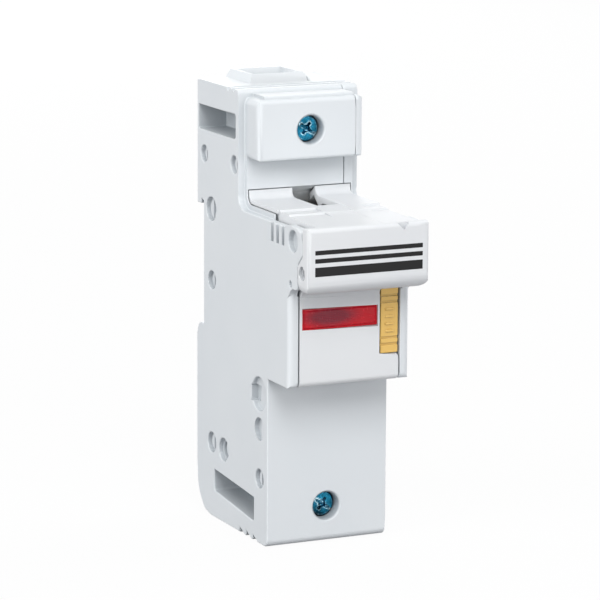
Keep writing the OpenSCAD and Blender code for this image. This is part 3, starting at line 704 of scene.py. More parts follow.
@shared("edge_highlight_and_wear", Radius=0.0004)
def edge_group(wires: Wiring, given: Sockets) -> Sockets:
    """Wire a mask of the outer edges, and the same mask broken up by noise, where a highlight is painted
    with a look of wear.

    Args:
        wires: The group's wiring.
        given: Its inputs by name.

    Returns:
        Its outputs by name.
    """
    bevel = wires.add("Bevel", samples=SAMPLES, Radius=given["Radius"])
    geometry = wires.add("NewGeometry")
    turn = wires.add("VectorMath", bevel.outputs["Normal"], geometry.outputs["Normal"],
                     operation="DOT_PRODUCT")
    broken = wires.add("TexNoise", Vector=wires.place(), Scale=420.0, Detail=4.0)
    bare = wires.spread(turn.outputs["Value"], *TURN)
    return {"Edge": bare,
            "Wear": wires.math("MULTIPLY", bare, wires.spread(broken.outputs["Fac"], *BROKEN))}


@shared("painted_hollow_shade", Reach=0.012)
def hollow_group(wires: Wiring, given: Sockets) -> Sockets:
    """Wire a mask of the corners and deep hollows, where little light falls and shade is painted into the
    colour.

    Args:
        wires: The group's wiring.
        given: Its inputs by name.

    Returns:
        Its outputs by name.
    """
    own, all_round = (
        wires.add("AmbientOcclusion", samples=SAMPLES, only_local=local, Distance=given["Reach"])
        for local in (True, False))
    return {"Deep": wires.math("ADD", wires.spread(own.outputs["AO"], *CORNER),
                               wires.spread(all_round.outputs["AO"], *HOLLOW))}


@shared("drawing_marks", X=200.0, Y=6000.0, Z=6000.0)
def brush_group(wires: Wiring, given: Sockets) -> Sockets:
    """Wire drawing or turning marks, long along one axis.

    Args:
        wires: The group's wiring.
        given: Its inputs by name.

    Returns:
        Its outputs by name.
    """
    where = wires.place()
    factor = wires.add("CombineXYZ", *(given[axis] for axis in "XYZ"))
    stretched = wires.add("VectorMath", where, factor.outputs[0], operation="MULTIPLY")
    marks = wires.add("TexNoise", Vector=stretched.outputs[0], Scale=1.0, Detail=4.0, Roughness=0.7)
    blotch = wires.add("TexNoise", Vector=where, Scale=160.0, Detail=3.0)
    return {"Marks": wires.spread(marks.outputs["Fac"], *STREAKS),
            "Blotch": wires.spread(blotch.outputs["Fac"], *NOISE)}


@dataclass(frozen=True)
class Finish:
    """A finish that is built as a material once and then shared.

    Attributes:
        name: The material's name.
        colour: Its main colour.
    """

    name: str
    colour: Colour

    def wire(self, wires: Wiring, shader: Node) -> None:
        """Wire the finish into its shader."""
        raise NotImplementedError

    def material(self) -> bpy.types.Material:
        """Give the finish's material, and build it the first time.

        Returns:
            The material.
        """
        if self.name in bpy.data.materials:
            return bpy.data.materials[self.name]
        material = bpy.data.materials.new(self.name)
        wires = blank(material)
        shader = wires.add("BsdfPrincipled")
        wires.add("OutputMaterial", Surface=shader.outputs[0])
        self.wire(wires, shader)
        return material


@dataclass(frozen=True)
class Moulded(Finish):
    """Moulded plastic: tool grain, slow drifts of tone, a painted highlight on its edges and painted shade
    in its hollows.

    Attributes:
        shade: The colour that it drifts towards.
        rough: Its roughness.
        grain: Depth of the grain, in millimetres.
        fineness: Scale of the grain, per metre.
        edge: The colour of its painted edge highlight, broken up like wear.
    """

    shade: Colour
    rough: float = 0.48
    grain: float = 0.006
    fineness: float = 2600.0
    edge: Colour = (0.9, 0.9, 0.9)

    # share of the colour left where painted shade darkens corners and hollows, tinted blue
    HOLLOW_SHADE: ClassVar[Colour] = (0.19, 0.225, 0.25)

    def wire(self, wires: Wiring, shader: Node) -> None:
        """Wire the plastic.

        Args:
            wires: The material's wiring.
            shader: The shader to feed.
        """
        grain = wires.group(grain_group(), Fineness=self.fineness)
        rim = wires.group(edge_group())
        drift = wires.blend(grain["Tone"], self.colour, self.shade, 0.6)
        painted_shade = tuple(share * channel for share, channel in zip(self.HOLLOW_SHADE, self.colour))
        # painted shade: darker colour in corners and deep hollows
        with_painted_shade = wires.blend(wires.group(hollow_group())["Deep"], drift, painted_shade)
        rough = wires.spread(grain["Fleck"], 0.0, 1.0, self.rough - 0.04, self.rough + 0.05)
        # the edges get a painted highlight in the edge colour
        wires.feed_all(
            shader, IOR=1.5, Base_Color=wires.blend(rim["Wear"], with_painted_shade, self.edge, 0.35),
            Roughness=wires.math("SUBTRACT", rough, wires.math("MULTIPLY", rim["Edge"], 0.08)),
            Normal=wires.relief(grain["Height"], self.grain, 0.6))


@dataclass(frozen=True)
class Metal(Finish):
    """Plated or drawn metal: marks along one axis, and blotches in the plating, which on the screw heads
    are painted shade.

    Attributes:
        stain_and_shade: The colour of its blotches.
        rough: Its roughness.
        along: Scale of the marks along each axis, per metre.
        depth: Depth of the marks, in millimetres.
        lit: The colour of its painted edge highlight, which also stands for wear where the plating is thin.
        bare: How much of that colour shows.
        glint_and_wear_width: Width of those edges, in millimetres.
        patchy: How much of the stain shows.
    """

    # on the screw heads the blotches are near-black painted shade for their deep bores
    stain_and_shade: Colour
    rough: float = 0.3
    along: Point = (200.0, 6000.0, 6000.0)
    depth: float = 0.004
    lit: Colour = (0.85, 0.85, 0.84)
    bare: float = 0.5
    glint_and_wear_width: float = 0.4
    patchy: float = 0.7

    def wire(self, wires: Wiring, shader: Node) -> None:
        """Wire the metal.

        Args:
            wires: The material's wiring.
            shader: The shader to feed.
        """
        marks = wires.group(brush_group(), *self.along)
        rim = wires.group(edge_group(), Radius=self.glint_and_wear_width * MM)
        tone = wires.blend(marks["Blotch"], self.colour, self.stain_and_shade, self.patchy)
        # the edges get a painted highlight in the lit colour
        wires.feed_all(
            shader, Metallic=1.0, Base_Color=wires.blend(rim["Wear"], tone, self.lit, self.bare),
            Roughness=wires.spread(marks["Marks"], 0.0, 1.0, self.rough - 0.08, self.rough + 0.1),
            Normal=wires.relief(marks["Marks"], self.depth, 0.5))


@dataclass(frozen=True)
class Ceramic(Finish):
    """Glazed fuse body: a fine speckle under a thin glaze.

    Attributes:
        speck: The colour of the speckle.
    """

    speck: Colour

    def wire(self, wires: Wiring, shader: Node) -> None:
        """Wire the ceramic.

        Args:
            wires: The material's wiring.
            shader: The shader to feed.
        """
        grain = wires.group(grain_group(), Fineness=1500.0)
        wires.feed_all(
            shader, Coat_Weight=0.3, Coat_Roughness=0.15,
            Base_Color=wires.blend(grain["Fleck"], self.colour, self.speck, 0.3),
            Roughness=wires.spread(grain["Tone"], 0.0, 1.0, 0.28, 0.4),
            Normal=wires.relief(grain["Height"], 0.01, 0.3))


@dataclass(frozen=True)
class Tinted(Finish):
    """Clear tinted plastic or glass, with faint flow marks from moulding, and where a heart is given,
    painted shade over its middle.

    Attributes:
        deep: The tint that it drifts towards.
        through: How much light goes through.
        rough: Its roughness.
        heart: The colour painted over its middle as the shade of the dark inside seen through it.
        centre: The middle of that place.
        reach: Half the width and height of that place.
        facets: Depth of the crossed facets on its back, in millimetres.
        shine: Strength of its plain reflection.
    """

    deep: Colour
    through: float
    rough: float = 0.12
    heart: Colour | None = None
    centre: Point = (0, 0, 0)
    reach: Pair = (1, 1)
    facets: float = 0.0
    shine: float = 0.5

    FACETS: ClassVar[float] = 6600.0  # radians per metre
    HEART: ClassVar[Pair] = (1.25, 0.6)  # reaches at which the heart starts and is full

    def facet_height(self, wires: Wiring) -> Socket:
        """Wire the facets: two rows of fine ridges that cross.

        Args:
            wires: The material's wiring.

        Returns:
            How far each place stands out.
        """
        split = wires.add("SeparateXYZ", wires.place()).outputs
        rows = (wires.math("MULTIPLY", wires.math(way, split["X"], split["Z"]), self.FACETS)
                for way in ("ADD", "SUBTRACT"))
        return wires.math("MULTIPLY", *(wires.math("SINE", row) for row in rows))

    def wire(self, wires: Wiring, shader: Node) -> None:
        """Wire the tinted plastic.

        Args:
            wires: The material's wiring.
            shader: The shader to feed.
        """
        grain = wires.group(grain_group(), Fineness=900.0, Drift=220.0)
        colour = wires.blend(grain["Tone"], self.colour, self.deep, 0.5)
        normal = wires.relief(grain["Height"], 0.01, 0.25)
        # painted shade over the middle, mottled by the facets
        if self.heart:
            across, up = self.reach
            moved = wires.add("VectorMath", wires.place(), metres(*self.centre), operation="SUBTRACT")
            scaled = wires.add("Mapping", Vector=moved.outputs[0],
                               Scale=Vector((1 / (across * MM), 0, 1 / (up * MM))))
            away = wires.add("VectorMath", scaled.outputs[0], operation="LENGTH")
            near = wires.spread(away.outputs["Value"], *self.HEART)
            facets = self.facet_height(wires)
            mottled = wires.math("MULTIPLY", near, wires.spread(facets, -1.0, 1.0, 0.72, 1.0))
            colour = wires.blend(mottled, colour, self.heart)
            normal = wires.relief(facets, self.facets, 0.6, Normal=normal)
        wires.feed_all(
            shader, Base_Color=colour, Normal=normal, IOR=1.49, Specular_IOR_Level=self.shine,
            Roughness=wires.spread(grain["Fleck"], 0.0, 1.0, self.rough, self.rough + 0.08),
            Transmission_Weight=self.through)


@dataclass(frozen=True)
class Printed(Finish):
    """Pad-printed ink: slightly uneven cover and a satin film.

    Attributes:
        thin: The colour where it covers less.
    """

    thin: Colour

    def wire(self, wires: Wiring, shader: Node) -> None:
        """Wire the ink.

        Args:
            wires: The material's wiring.
            shader: The shader to feed.
        """
        grain = wires.group(grain_group(), Fineness=1800.0, Drift=90.0)
        wires.feed_all(
            shader, Base_Color=wires.blend(grain["Tone"], self.colour, self.thin, 0.4),
            Roughness=wires.spread(grain["Fleck"], 0.0, 1.0, 0.34, 0.46),
            Normal=wires.relief(grain["Height"], 0.004, 0.3), Specular_IOR_Level=0.25)


@dataclass(frozen=True)
class Banded(Finish):
    """Lacquered resistor body with coloured value bands round it.

    Attributes:
        middle: Middle of the body along X, in millimetres.
        bands: Distance from the middle and colour of each band.
    """

    middle: float
    bands: tuple[tuple[float, Colour], ...]

    HALF: ClassVar[float] = 0.22  # half a band's width, in millimetres

    def wire(self, wires: Wiring, shader: Node) -> None:
        """Wire the lacquer and its bands.

        Args:
            wires: The material's wiring.
            shader: The shader to feed.
        """
        grain = wires.group(grain_group())
        split = wires.add("SeparateXYZ", wires.place()).outputs
        darker = tuple(0.8 * channel for channel in self.colour)
        colour = wires.blend(grain["Tone"], self.colour, darker, 0.3)
        for offset, ink in self.bands:
            away = wires.math("ABSOLUTE", wires.math("SUBTRACT", split["X"], (self.middle + offset) * MM))
            colour = wires.blend(wires.math("LESS_THAN", away, self.HALF * MM), colour, ink)
        wires.feed_all(shader, Base_Color=colour, Coat_Weight=0.4,
                       Roughness=wires.spread(grain["Fleck"], 0.0, 1.0, 0.25, 0.4))


class Finishes:
    """The finishes of the disconnector, in a maker's plain words."""

    housing = Moulded("pale_grey_housing", linear(226, 230, 233), linear(220, 225, 229))
    carrier = Moulded("white_grey_carrier", linear(229, 231, 233), linear(225, 227, 230), rough=0.46)
    slide = Moulded("ochre_slide", linear(238, 196, 108), linear(231, 186, 98), rough=0.34, grain=0.004,
                    edge=linear(255, 226, 158))
    clip = Moulded("dark_clip", linear(74, 78, 82), linear(62, 66, 70), rough=0.45,
                   edge=linear(140, 144, 148))
    # its darker heart is painted shade of the inside seen through it
    lens = Tinted("red_lens", linear(222, 18, 40), linear(194, 10, 30), through=0.2, rough=0.2,
                  heart=linear(124, 34, 54), centre=(-5.6, -57, -6.2), reach=(8.0, 2.5), facets=0.03,
                  shine=0.22)
    glass = Tinted("lamp_glass", linear(246, 240, 236), linear(240, 226, 220), through=0.95, rough=0.03)
    ink = Printed("black_print", linear(16, 16, 17), linear(28, 28, 30))
    # near-black stain: painted shade of the deep bores; pale cyan edges: painted glints
    screw = Metal("blue_zinc", linear(38, 124, 156), linear(2, 24, 36), rough=0.15,
                  along=(1500.0, 1500.0, 1500.0), depth=0.22, lit=linear(214, 246, 255), bare=1.0,
                  glint_and_wear_width=0.75, patchy=0.95)
    cage = Metal("zinc_cage", linear(190, 192, 188), linear(160, 164, 160), rough=0.36)
    copper = Metal("tinned_copper", linear(205, 168, 130), linear(184, 140, 104), rough=0.3)
    spring = Metal("spring_steel", linear(176, 180, 184), linear(150, 154, 160), rough=0.28)
    plating = Metal("cap_plating", linear(214, 214, 210), linear(188, 186, 180), rough=0.26,
                    along=(300.0, 300.0, 5000.0))
    ceramic = Ceramic("fuse_ceramic", linear(236, 232, 222), linear(214, 206, 190))
    laminate = Moulded("board_laminate", linear(186, 150, 92), linear(170, 132, 76), rough=0.5,
                       fineness=4200.0, edge=linear(206, 180, 130))
    resistor = Banded("resistor_lacquer", linear(206, 178, 136), 3.4,
                      ((-1.1, linear(120, 70, 40)), (-0.3, linear(30, 30, 30)), (0.5, linear(190, 150, 40)),
                       (1.4, linear(176, 140, 60))))


def dress(piece: Piece, finish: Finish, body: Body) -> None:
    """Give a new piece its finish and the body it rides on.

    Args:
        piece: The piece.
        finish: Its finish.
        body: The body that carries it.
    """
    piece.data.materials.clear()
    piece.data.materials.append(finish.material())
    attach(piece, body.value)
    LOG.info("%s: %d faces, rides on %s", piece.name, len(piece.data.polygons), body.value)


def repaint(node: str, finish: Finish) -> None:
    """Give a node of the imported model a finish.

    Args:
        node: The node's name.
        finish: Its finish.
    """
    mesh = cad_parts[node].data
    mesh.materials.clear()
    mesh.materials.append(finish.material())
    LOG.info("%s: kept, %s", node, finish.name)


# The object's sub-assemblies


@dataclass
class Housing:
    """The two moulded halves of the housing.

    Attributes:
        rounding: Width of the rounding on the edges.
    """

    rounding: float = 0.35

    def build(self) -> None:
        """Round the halves' edges and give them their plastic."""
        for node in ("left_shell", "right_cover"):
            dress(softened(node, self.rounding), Finishes.housing, Body.HOUSING)


@dataclass
class Carrier:
    """The two halves of the swinging fuse carrier, with the print on its handle.

    Attributes:
        rounding: Width of the rounding on the edges.
        face: Depth of the handle's front face.
        bars: Lowest and highest edge of each printed bar.
        reach: How far the bars run to either side of the middle.
        film: Thickness of the ink.
        root: How far the ink reaches into the handle.
        corner: Width of the rounding on the bars' corners.
    """

    rounding: float = 0.3
    face: float = -68.5
    bars: tuple[Pair, ...] = ((13.0, 14.2), (10.8, 12.0), (7.2, 9.7))
    reach: float = 15.8
    film: float = 0.03
    root: float = 0.05
    corner: float = 0.12

    def print_bar(self, number: int, low: float, high: float) -> None:
        """Lay one bar of ink on the handle's face.

        Args:
            number: The bar's number.
            low: Its lower edge.
            high: Its upper edge.
        """
        bar = start_block(f"handle_print_{number}", (-self.reach, self.face - self.film, low),
                          (self.reach, self.face + self.root, high))
        with editing(bar, Pick.EDGE):
            pick_along(bar, INTO, edges=True)
            bpy.ops.mesh.bevel(offset=self.corner * MM, segments=3, affect="EDGES")
        dress(bar, Finishes.ink, Body.CARRIER)

    def build(self) -> None:
        """Round the halves' edges, and print the handle."""
        for node in ("carrier_left", "carrier_right"):
            dress(softened(node, self.rounding), Finishes.carrier, Body.CARRIER)
        for number, (low, high) in enumerate(self.bars, 1):
            self.print_bar(number, low, high)


@dataclass
class IndicatorLens:
    """The red window over the indicator lamp.

    Attributes:
        flange: Width of the flat flange round the raised window.
        slope: Width of the slope up to the window.
        rise: How far the window stands out of the flange.
        sheet: Depth of the flange's back behind the window's face.
        margin: How far the block behind the flange keeps inside it.
        shift: How far that block stands to the right.
        rounding: Width of the rounding on the edges.
    """

    flange: float = 0.42
    slope: float = 0.3
    rise: float = 0.34
    sheet: float = 0.87
    margin: float = 0.6
    shift: float = 0.15
    rounding: float = 0.07

    def build(self) -> None:
        """Shape the flange, its rim and the thick window behind it."""
        low, high = (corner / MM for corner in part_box("indicator_lens"))
        step = low.y + self.sheet
        lens = start_block("indicator_window", (low.x, low.y + self.rise, low.z), (high.x, step, high.z))
        with editing(lens):
            pick_along(lens, INTO)
            bpy.ops.mesh.inset(thickness=self.margin * MM)
            bpy.ops.mesh.extrude_region_move(
                TRANSFORM_OT_translate={"value": (self.shift * MM, (high.y - step) * MM, 0)})
            pick_along(lens, -INTO)
            bpy.ops.mesh.inset(thickness=self.flange * MM)
            bpy.ops.mesh.inset(thickness=self.slope * MM, depth=self.rise * MM)
        ease(lens, self.rounding, 20)
        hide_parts("indicator_lens")
        dress(lens, Finishes.lens, Body.CARRIER)


@dataclass
class PadlockSlide:
    """The ochre slide that is pulled out for a padlock.

    Attributes:
        rounding: Width of the rounding on the edges.
        rows: Heights of the raised grip bars.
        proud: How far the bars stand out.
        root: How deep they sit in the slide.
        half: Half the width and height of a bar.
        taper: The width and height of its face, as shares of its root's.
    """

    rounding: float = 0.22
    rows: tuple[float, ...] = (-11.6, -9.6, -7.6, -5.6)
    proud: float = 0.42
    root: float = 0.2
    half: Pair = (1.35, 0.42)
    taper: Pair = (0.86, 0.62)

    def build(self) -> None:
        """Round the slide's edges and raise its grip bars."""
        low, high = (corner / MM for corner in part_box("lock_slide"))
        slide = softened("lock_slide", self.rounding, 3)
        middle, front = (low.x + high.x) / 2, low.y - self.proud
        wide, tall = self.half
        for number, height in enumerate(self.rows):
            bar = start_block(f"slide_bar_{number}", (middle - wide, front, height - tall),
                              (middle + wide, low.y + self.root, height + tall))
            with editing(bar):
                pick_along(bar, -INTO)
                bpy.ops.transform.resize(value=(self.taper[0], 1, self.taper[1]),
                                         center_override=metres(middle, front, height))
            ease(bar, 0.1)
            join(slide, bar)
        slide.name = "padlock_slide"
        dress(slide, Finishes.slide, Body.LOCK)


@dataclass
class TerminalScrew:
    """A clamp screw with a cross recess and a slot in its head.

    Attributes:
        place: Middle of the head's face.
        node: The node it stands for.
        body: The body it rides on.
        head: Radius of the head.
        shank: Radius over the thread.
        length: Length with the head.
        turn: Turn of the recess about the axis, in degrees.
    """

    place: Point
    node: str
    body: Body
    head: float = 3.6
    shank: float = 3.0
    length: float = 19.0
    turn: float = 35.0

    PITCH: ClassVar[float] = 1.0
    BLADES: ClassVar[tuple[tuple[float, ...], ...]] = (  # turn, reach, depth, half width, taper
        (0, 2.15, 1.9, 0.5, 0.72), (90, 2.15, 1.9, 0.5, 0.72), (45, 1.25, 1.2, 0.3, 0.72),
        (-45, 1.25, 1.2, 0.3, 0.72), (0, 4.2, 0.85, 0.36, 1.0))

    def profile(self) -> Outline:
        """Give the screw's outline: a domed head, then thread, then a dog point.

        Returns:
            Pairs of distance from the head's face and radius.
        """
        outline = [(0.0, self.head - 0.42), (0.06, self.head - 0.26), (0.2, self.head - 0.08),
                   (0.45, self.head), (3.3, self.head), (3.55, self.head - 0.25), (3.6, self.shank - 0.35)]
        along = 4.2
        while along < self.length - 1.6:
            outline += [(along + share * self.PITCH, self.shank - depth)
                        for share, depth in ((0, 0.38), (0.38, 0), (0.5, 0), (0.88, 0.38))]
            along += self.PITCH
        outline += [(self.length - 0.7, self.shank - 0.45), (self.length, self.shank - 1.0)]
        return outline

    def build(self) -> None:
        """Turn the screw and cut its recess."""
        screw = turned(f"{self.node}_body", self.place, INTO, self.profile(), 40)
        x, y, z = self.place
        pivot = metres(x, y, z)
        for angle, reach, depth, half, taper in self.BLADES:
            blade = start_block("blade", (x - reach, y - 1, z - half), (x + reach, y + depth, z + half))
            with editing(blade):
                pick_along(blade, INTO)
                bpy.ops.transform.resize(value=(taper, 1, 0.8), center_override=metres(x, y + depth, z))
            blade.data.transform(Matrix.Translation(pivot)
                                 @ Matrix.Rotation(math.radians(self.turn + angle), 4, "Y")
                                 @ Matrix.Translation(-pivot))
            cut(screw, blade)
        ease(screw, 0, 38)
        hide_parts(self.node)
        dress(screw, Finishes.screw, self.body)


@dataclass
class Terminal:
    """One clamp: its screw, its cage and its copper strip.

    Attributes:
        name: upper or lower.
        head: Middle of the screw head's face.
        screw_body: The body of the screw.
        cage_body: The body of the cage.
    """

    name: str
    head: Point
    screw_body: Body
    cage_body: Body

    def build(self) -> None:
        """Build the screw, round the cage's edges and tin the copper."""
        TerminalScrew(self.head, f"{self.name}_screw", self.screw_body).build()
        dress(softened(f"{self.name}_cage", 0.3), Finishes.cage, self.cage_body)
        dress(softened(f"{self.name}_contact", 0.12), Finishes.copper, Body.HOUSING)
        dress(softened(f"{self.name}_jaw_spring", 0.08), Finishes.spring, Body.HOUSING)


@dataclass
class FuseLink:
    """The cylindrical fuse link in the carrier.

    Attributes:
        axis_y: Depth of its axis.
        radius: Radius of the caps.
        cap: Length of each cap.
        wall: Thickness of the caps' sheet.
    """

    axis_y: float = -28.0
    radius: float = 11.1
    cap: float = 16.0
    wall: float = 0.6

    SIDES: ClassVar[int] = 96
    SHARP: ClassVar[float] = 32.0  # degrees from which an edge looks sharp

    def cap_profile(self) -> Outline:
        """Give a cap's outline from its end face outwards, round and back inside.

        Returns:
            Pairs of distance from the end face and radius.
        """
        r, inner = self.radius, self.radius - self.wall + 0.01
        return [(0.25, 2.6), (0.25, 3.0), (0.0, 3.6), (0.0, r - 2.0), (0.18, r - 1.1), (0.6, r - 0.35),
                (1.3, r), (self.cap - 3.1, r), (self.cap - 2.9, r - 0.22), (self.cap - 2.3, r - 0.22),
                (self.cap - 2.1, r), (self.cap - 0.3, r), (self.cap, r - 0.25), (self.cap - 0.02, inner),
                (0.66, inner)]

    def tube_profile(self, length: float) -> Outline:
        """Give the tube's outline, with a waist between the caps.

        Args:
            length: Length of the fuse link over its caps.

        Returns:
            Pairs of distance from the lower cap's end face and radius.
        """
        r = self.radius - self.wall
        half = [(0.7, r - 1.2), (0.75, r - 0.6), (1.1, r - 0.1), (1.5, r), (self.cap + 0.4, r),
                (self.cap + 0.8, r - 0.12)]
        return half + [(length - along, radius) for along, radius in reversed(half)]

    def build(self) -> None:
        """Turn both caps and the tube between them."""
        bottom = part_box("lower_fuse_cap")[0].z / MM
        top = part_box("upper_fuse_cap")[1].z / MM
        lower = turned("lower_cap", (0, self.axis_y, bottom), UP, self.cap_profile(), self.SIDES)
        upper = turned("upper_cap", (0, self.axis_y, top), -UP, self.cap_profile(), self.SIDES)
        for piece, node in ((lower, "lower_fuse_cap"), (upper, "upper_fuse_cap")):
            ease(piece, 0, self.SHARP)
            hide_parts(node)
            dress(piece, Finishes.plating, Body.CARRIER)
        tube = turned("fuse_body", (0, self.axis_y, bottom), UP, self.tube_profile(top - bottom),
                      self.SIDES)
        ease(tube, 0, self.SHARP)
        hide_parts("fuse_tube")
        dress(tube, Finishes.ceramic, Body.CARRIER)


@dataclass
class LampCircuit:
    """The blown-fuse indicator behind the red window.

    The outlines are pairs of distance and radius, in millimetres.

    Attributes:
        lamp: Where the lamp's glass starts, and how far its axis is in front of the board.
        apart: How far its electrodes are from its axis.
        feet: Where its wires turn back to the board.
        coat: Start, distance in front of the board and height of the resistor's body.
        legs: Where the resistor's wires turn back to the board.
    """

    lamp: Pair = (-9.0, 1.95)
    apart: float = 0.9
    feet: float = -11.2
    coat: Point = (1.2, 1.35, -6.75)
    legs: Pair = (0.2, 6.6)

    SIDES: ClassVar[int] = 32
    WIRE_SIDES: ClassVar[int] = 16
    BLOWN: ClassVar[float] = 60.0  # degrees from which an edge of the glass looks sharp
    SHARP: ClassVar[float] = 40.0  # the same for the other parts
    GLASS: ClassVar[Outline] = [(0.0, 1.0), (0.15, 1.5), (0.5, 1.8), (0.9, 1.9), (5.4, 1.9), (6.2, 1.7),
                                (6.9, 1.2), (7.4, 0.6), (7.9, 0.35)]
    ELECTRODE: ClassVar[Outline] = [(0.0, 0.2), (0.05, 0.25), (3.2, 0.25), (3.4, 0.4), (7.0, 0.4),
                                    (7.1, 0.3)]
    FOOT: ClassVar[Outline] = [(0.0, 0.2), (0.0, 0.25), (1.95, 0.25), (2.0, 0.2)]
    COAT: ClassVar[Outline] = [(0.0, 0.6), (0.1, 1.05), (0.35, 1.25), (0.9, 1.3), (1.2, 1.18), (3.2, 1.18),
                               (3.5, 1.3), (4.05, 1.25), (4.3, 1.05), (4.4, 0.6)]
    WIRE: ClassVar[Outline] = [(0.0, 0.15), (0.05, 0.25), (6.75, 0.25), (6.8, 0.15)]
    LEG: ClassVar[Outline] = [(0.0, 0.15), (0.05, 0.25), (1.6, 0.25)]

    def neon_lamp(self) -> None:
        """Blow the lamp's glass and set its two electrodes inside."""
        low, high = (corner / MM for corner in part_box("neon_lamp"))
        start, gap = self.lamp
        y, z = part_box("lamp_board")[0].y / MM - gap, (low.z + high.z) / 2
        glass = turned("lamp_glass_body", (start, y, z), ACROSS, self.GLASS, self.SIDES)
        ease(glass, 0, self.BLOWN)
        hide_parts("neon_lamp")
        dress(glass, Finishes.glass, Body.CARRIER)
        for side, name in ((-self.apart, "low"), (self.apart, "high")):
            bend = (self.feet, y, z + side)
            rod = turned(f"lamp_wire_{name}", bend, ACROSS, self.ELECTRODE, self.WIRE_SIDES)
            join(rod, turned("foot", bend, INTO, self.FOOT, self.WIRE_SIDES))
            ease(rod, 0, self.SHARP)
            dress(rod, Finishes.spring, Body.CARRIER)

    def resistor(self) -> None:
        """Turn the resistor's body and its bent wires."""
        start, gap, z = self.coat
        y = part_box("lamp_board")[0].y / MM - gap
        body = turned("resistor_body", (start, y, z), ACROSS, self.COAT, self.SIDES)
        ease(body, 0, self.SHARP)
        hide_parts("series_resistor")
        dress(body, Finishes.resistor, Body.CARRIER)
        wire = turned("resistor_wire", (0.0, y, z), ACROSS, self.WIRE, self.WIRE_SIDES)
        for x in self.legs:
            join(wire, turned("leg", (x, y - 0.25, z), INTO, self.LEG, self.WIRE_SIDES))
        ease(wire, 0, self.SHARP)
        dress(wire, Finishes.spring, Body.CARRIER)

    def build(self) -> None:
        """Build the lamp, the resistor, the board and its leads."""
        self.neon_lamp()
        self.resistor()
        dress(softened("lamp_board", 0.06), Finishes.laminate, Body.CARRIER)
        for lead in ("upper_lamp_lead", "lower_lamp_lead"):
            dress(softened(lead, 0.04), Finishes.copper, Body.CARRIER)


@dataclass
class RailClip:
    """The spring clip that holds the housing on its rail.

    Attributes:
        rounding: Width of the rounding on the edges.
    """

    rounding: float = 0.2

    def build(self) -> None:
        """Round the clip's edges and give the spring its steel."""
        dress(softened("rail_clip", self.rounding), Finishes.clip, Body.CLIP)
        repaint("clip_spring", Finishes.spring)


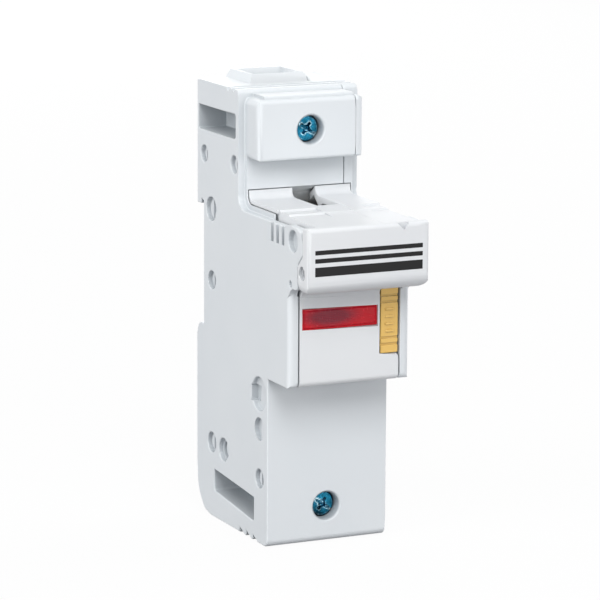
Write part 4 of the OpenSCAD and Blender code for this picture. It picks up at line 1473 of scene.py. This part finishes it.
@dataclass
class Studio:
    """Camera, lamps, world and floor of a plain pale studio.

    Attributes:
        azimuth: The camera's direction round the object, in degrees.
        elevation: Its height above the level, in degrees.
        roll: Its lean, in degrees.
        stand: Where the camera stands, in millimetres.
        focal: Focal length, as a share of the picture's width.
        sky: Colour of the world's light.
        soft: Strength of the world's light.
        floor: Height of the floor.
        bounce: The floor's colour as it lights the object.
        shadow: The floor's colour as it is seen in shadow.
        glow: How much of its white is its own.
        lamps: Name, place, size in millimetres and power of each lamp.
    """

    SENSOR: ClassVar[float] = 36.0
    SIGHT: ClassVar[float] = 20.0  # metres that the camera sees
    FLOOR: ClassVar[float] = 6.0  # metres that the floor reaches
    WHITE: ClassVar[Colour] = (1.0, 1.0, 1.0)

    azimuth: float = -25.0
    elevation: float = 11.2
    roll: float = 0.302
    stand: Point = (-380.56, -841.40, 170.36)
    focal: float = 3317.3 / 600
    sky: Colour = (0.97, 0.985, 1.0)
    soft: float = 0.38
    floor: float = -72.45
    bounce: Colour = (0.3, 0.3, 0.31)
    shadow: Colour = (0.82, 0.82, 0.82)
    glow: float = 0.94
    lamps: list[tuple[str, Point, float, float]] = field(default_factory=lambda: [
        ("key", (-350, -1100, 1000), 800, 11.2),
        ("side", (-1400, -300, 500), 800, 10.8),
        ("front", (350, -1550, 200), 480, 4.6),
        ("rim", (900, 300, 900), 700, 1.5),
        ("right", (1400, 150, 350), 800, 7.0),
        ("back", (250, 1400, 450), 800, 7.0),
    ])

    def camera(self) -> None:
        """Stand the camera where the photograph was taken from."""
        turn = (Matrix.Rotation(math.radians(self.azimuth), 4, "Z")
                @ Matrix.Rotation(math.radians(90 - self.elevation), 4, "X")
                @ Matrix.Rotation(math.radians(self.roll), 4, "Z"))
        data = bpy.data.cameras.new("camera")
        data.sensor_width = self.SENSOR
        data.lens = self.focal * self.SENSOR
        data.clip_end = self.SIGHT
        camera = bpy.data.objects.new("camera", data)
        camera.matrix_world = Matrix.Translation(metres(*self.stand)) @ turn
        bpy.context.scene.collection.objects.link(camera)
        bpy.context.scene.camera = camera

    @staticmethod
    def seen(wires: Wiring) -> Socket:
        """Tell whether a ray is the camera's, or comes by way of gloss or glass.

        Args:
            wires: The wiring that asks.

        Returns:
            1 if so, or else 0.
        """
        path = wires.add("LightPath")
        glossy = wires.math("MAXIMUM", path.outputs["Is Camera Ray"], path.outputs["Is Glossy Ray"])
        return wires.math("MAXIMUM", glossy, path.outputs["Is Transmission Ray"])

    def world(self) -> None:
        """Give the world a soft light, and white where it is seen."""
        world = bpy.data.worlds.new("studio")
        bpy.context.scene.world = world
        wires = blank(world)
        soft = wires.add("Background", Color=self.sky, Strength=self.soft)
        white = wires.add("Background", Color=self.WHITE, Strength=1.0)
        mix = wires.add("MixShader", self.seen(wires), soft.outputs[0], white.outputs[0])
        wires.add("OutputWorld", Surface=mix.outputs[0])

    def lay_floor(self) -> None:
        """Lay the floor, white where nothing shades it."""
        put_down()
        bpy.ops.mesh.primitive_plane_add(size=self.FLOOR, location=(0, 0, self.floor * MM))
        floor = name_piece("studio_floor")
        material = bpy.data.materials.new("floor_paint")
        wires = blank(material)
        seen = self.seen(wires)
        paint = wires.add("BsdfDiffuse", Color=wires.blend(seen, self.bounce, self.shadow))
        glow = wires.add("Emission", Color=self.WHITE, Strength=1.0)
        mix = wires.add("MixShader", wires.math("MULTIPLY", seen, self.glow), paint.outputs[0],
                        glow.outputs[0])
        wires.add("OutputMaterial", Surface=mix.outputs[0])
        floor.data.materials.append(material)

    def hang_lamps(self) -> None:
        """Hang the soft lamps, each turned to the object."""
        for name, place, size, power in self.lamps:
            data = bpy.data.lights.new(name, "AREA")
            data.shape = "SQUARE"
            data.size = size * MM
            data.energy = power
            lamp = bpy.data.objects.new(name, data)
            lamp.location = metres(*place)
            lamp.rotation_euler = (-metres(*place)).to_track_quat("-Z", "Y").to_euler()
            bpy.context.scene.collection.objects.link(lamp)

    def build(self) -> None:
        """Set the studio up."""
        self.camera()
        self.world()
        self.lay_floor()
        self.hang_lamps()
        bpy.context.scene.view_settings.view_transform = "Standard"
        LOG.info("studio: camera, floor, world and %d lamps", len(self.lamps))


def main() -> None:
    """Build the studio and the object, piece by piece."""
    logging.basicConfig(level=logging.INFO, format="%(message)s")
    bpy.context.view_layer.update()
    Studio().build()
    Housing().build()
    Carrier().build()
    IndicatorLens().build()
    PadlockSlide().build()
    Terminal("upper", (0, -28.8, 40.5), Body.UPPER_SCREW, Body.UPPER_CAGE).build()
    Terminal("lower", (0, -40.1, -62.4), Body.LOWER_SCREW, Body.LOWER_CAGE).build()
    FuseLink().build()
    LampCircuit().build()
    RailClip().build()
    put_down()


if __name__ == "__main__":
    main()
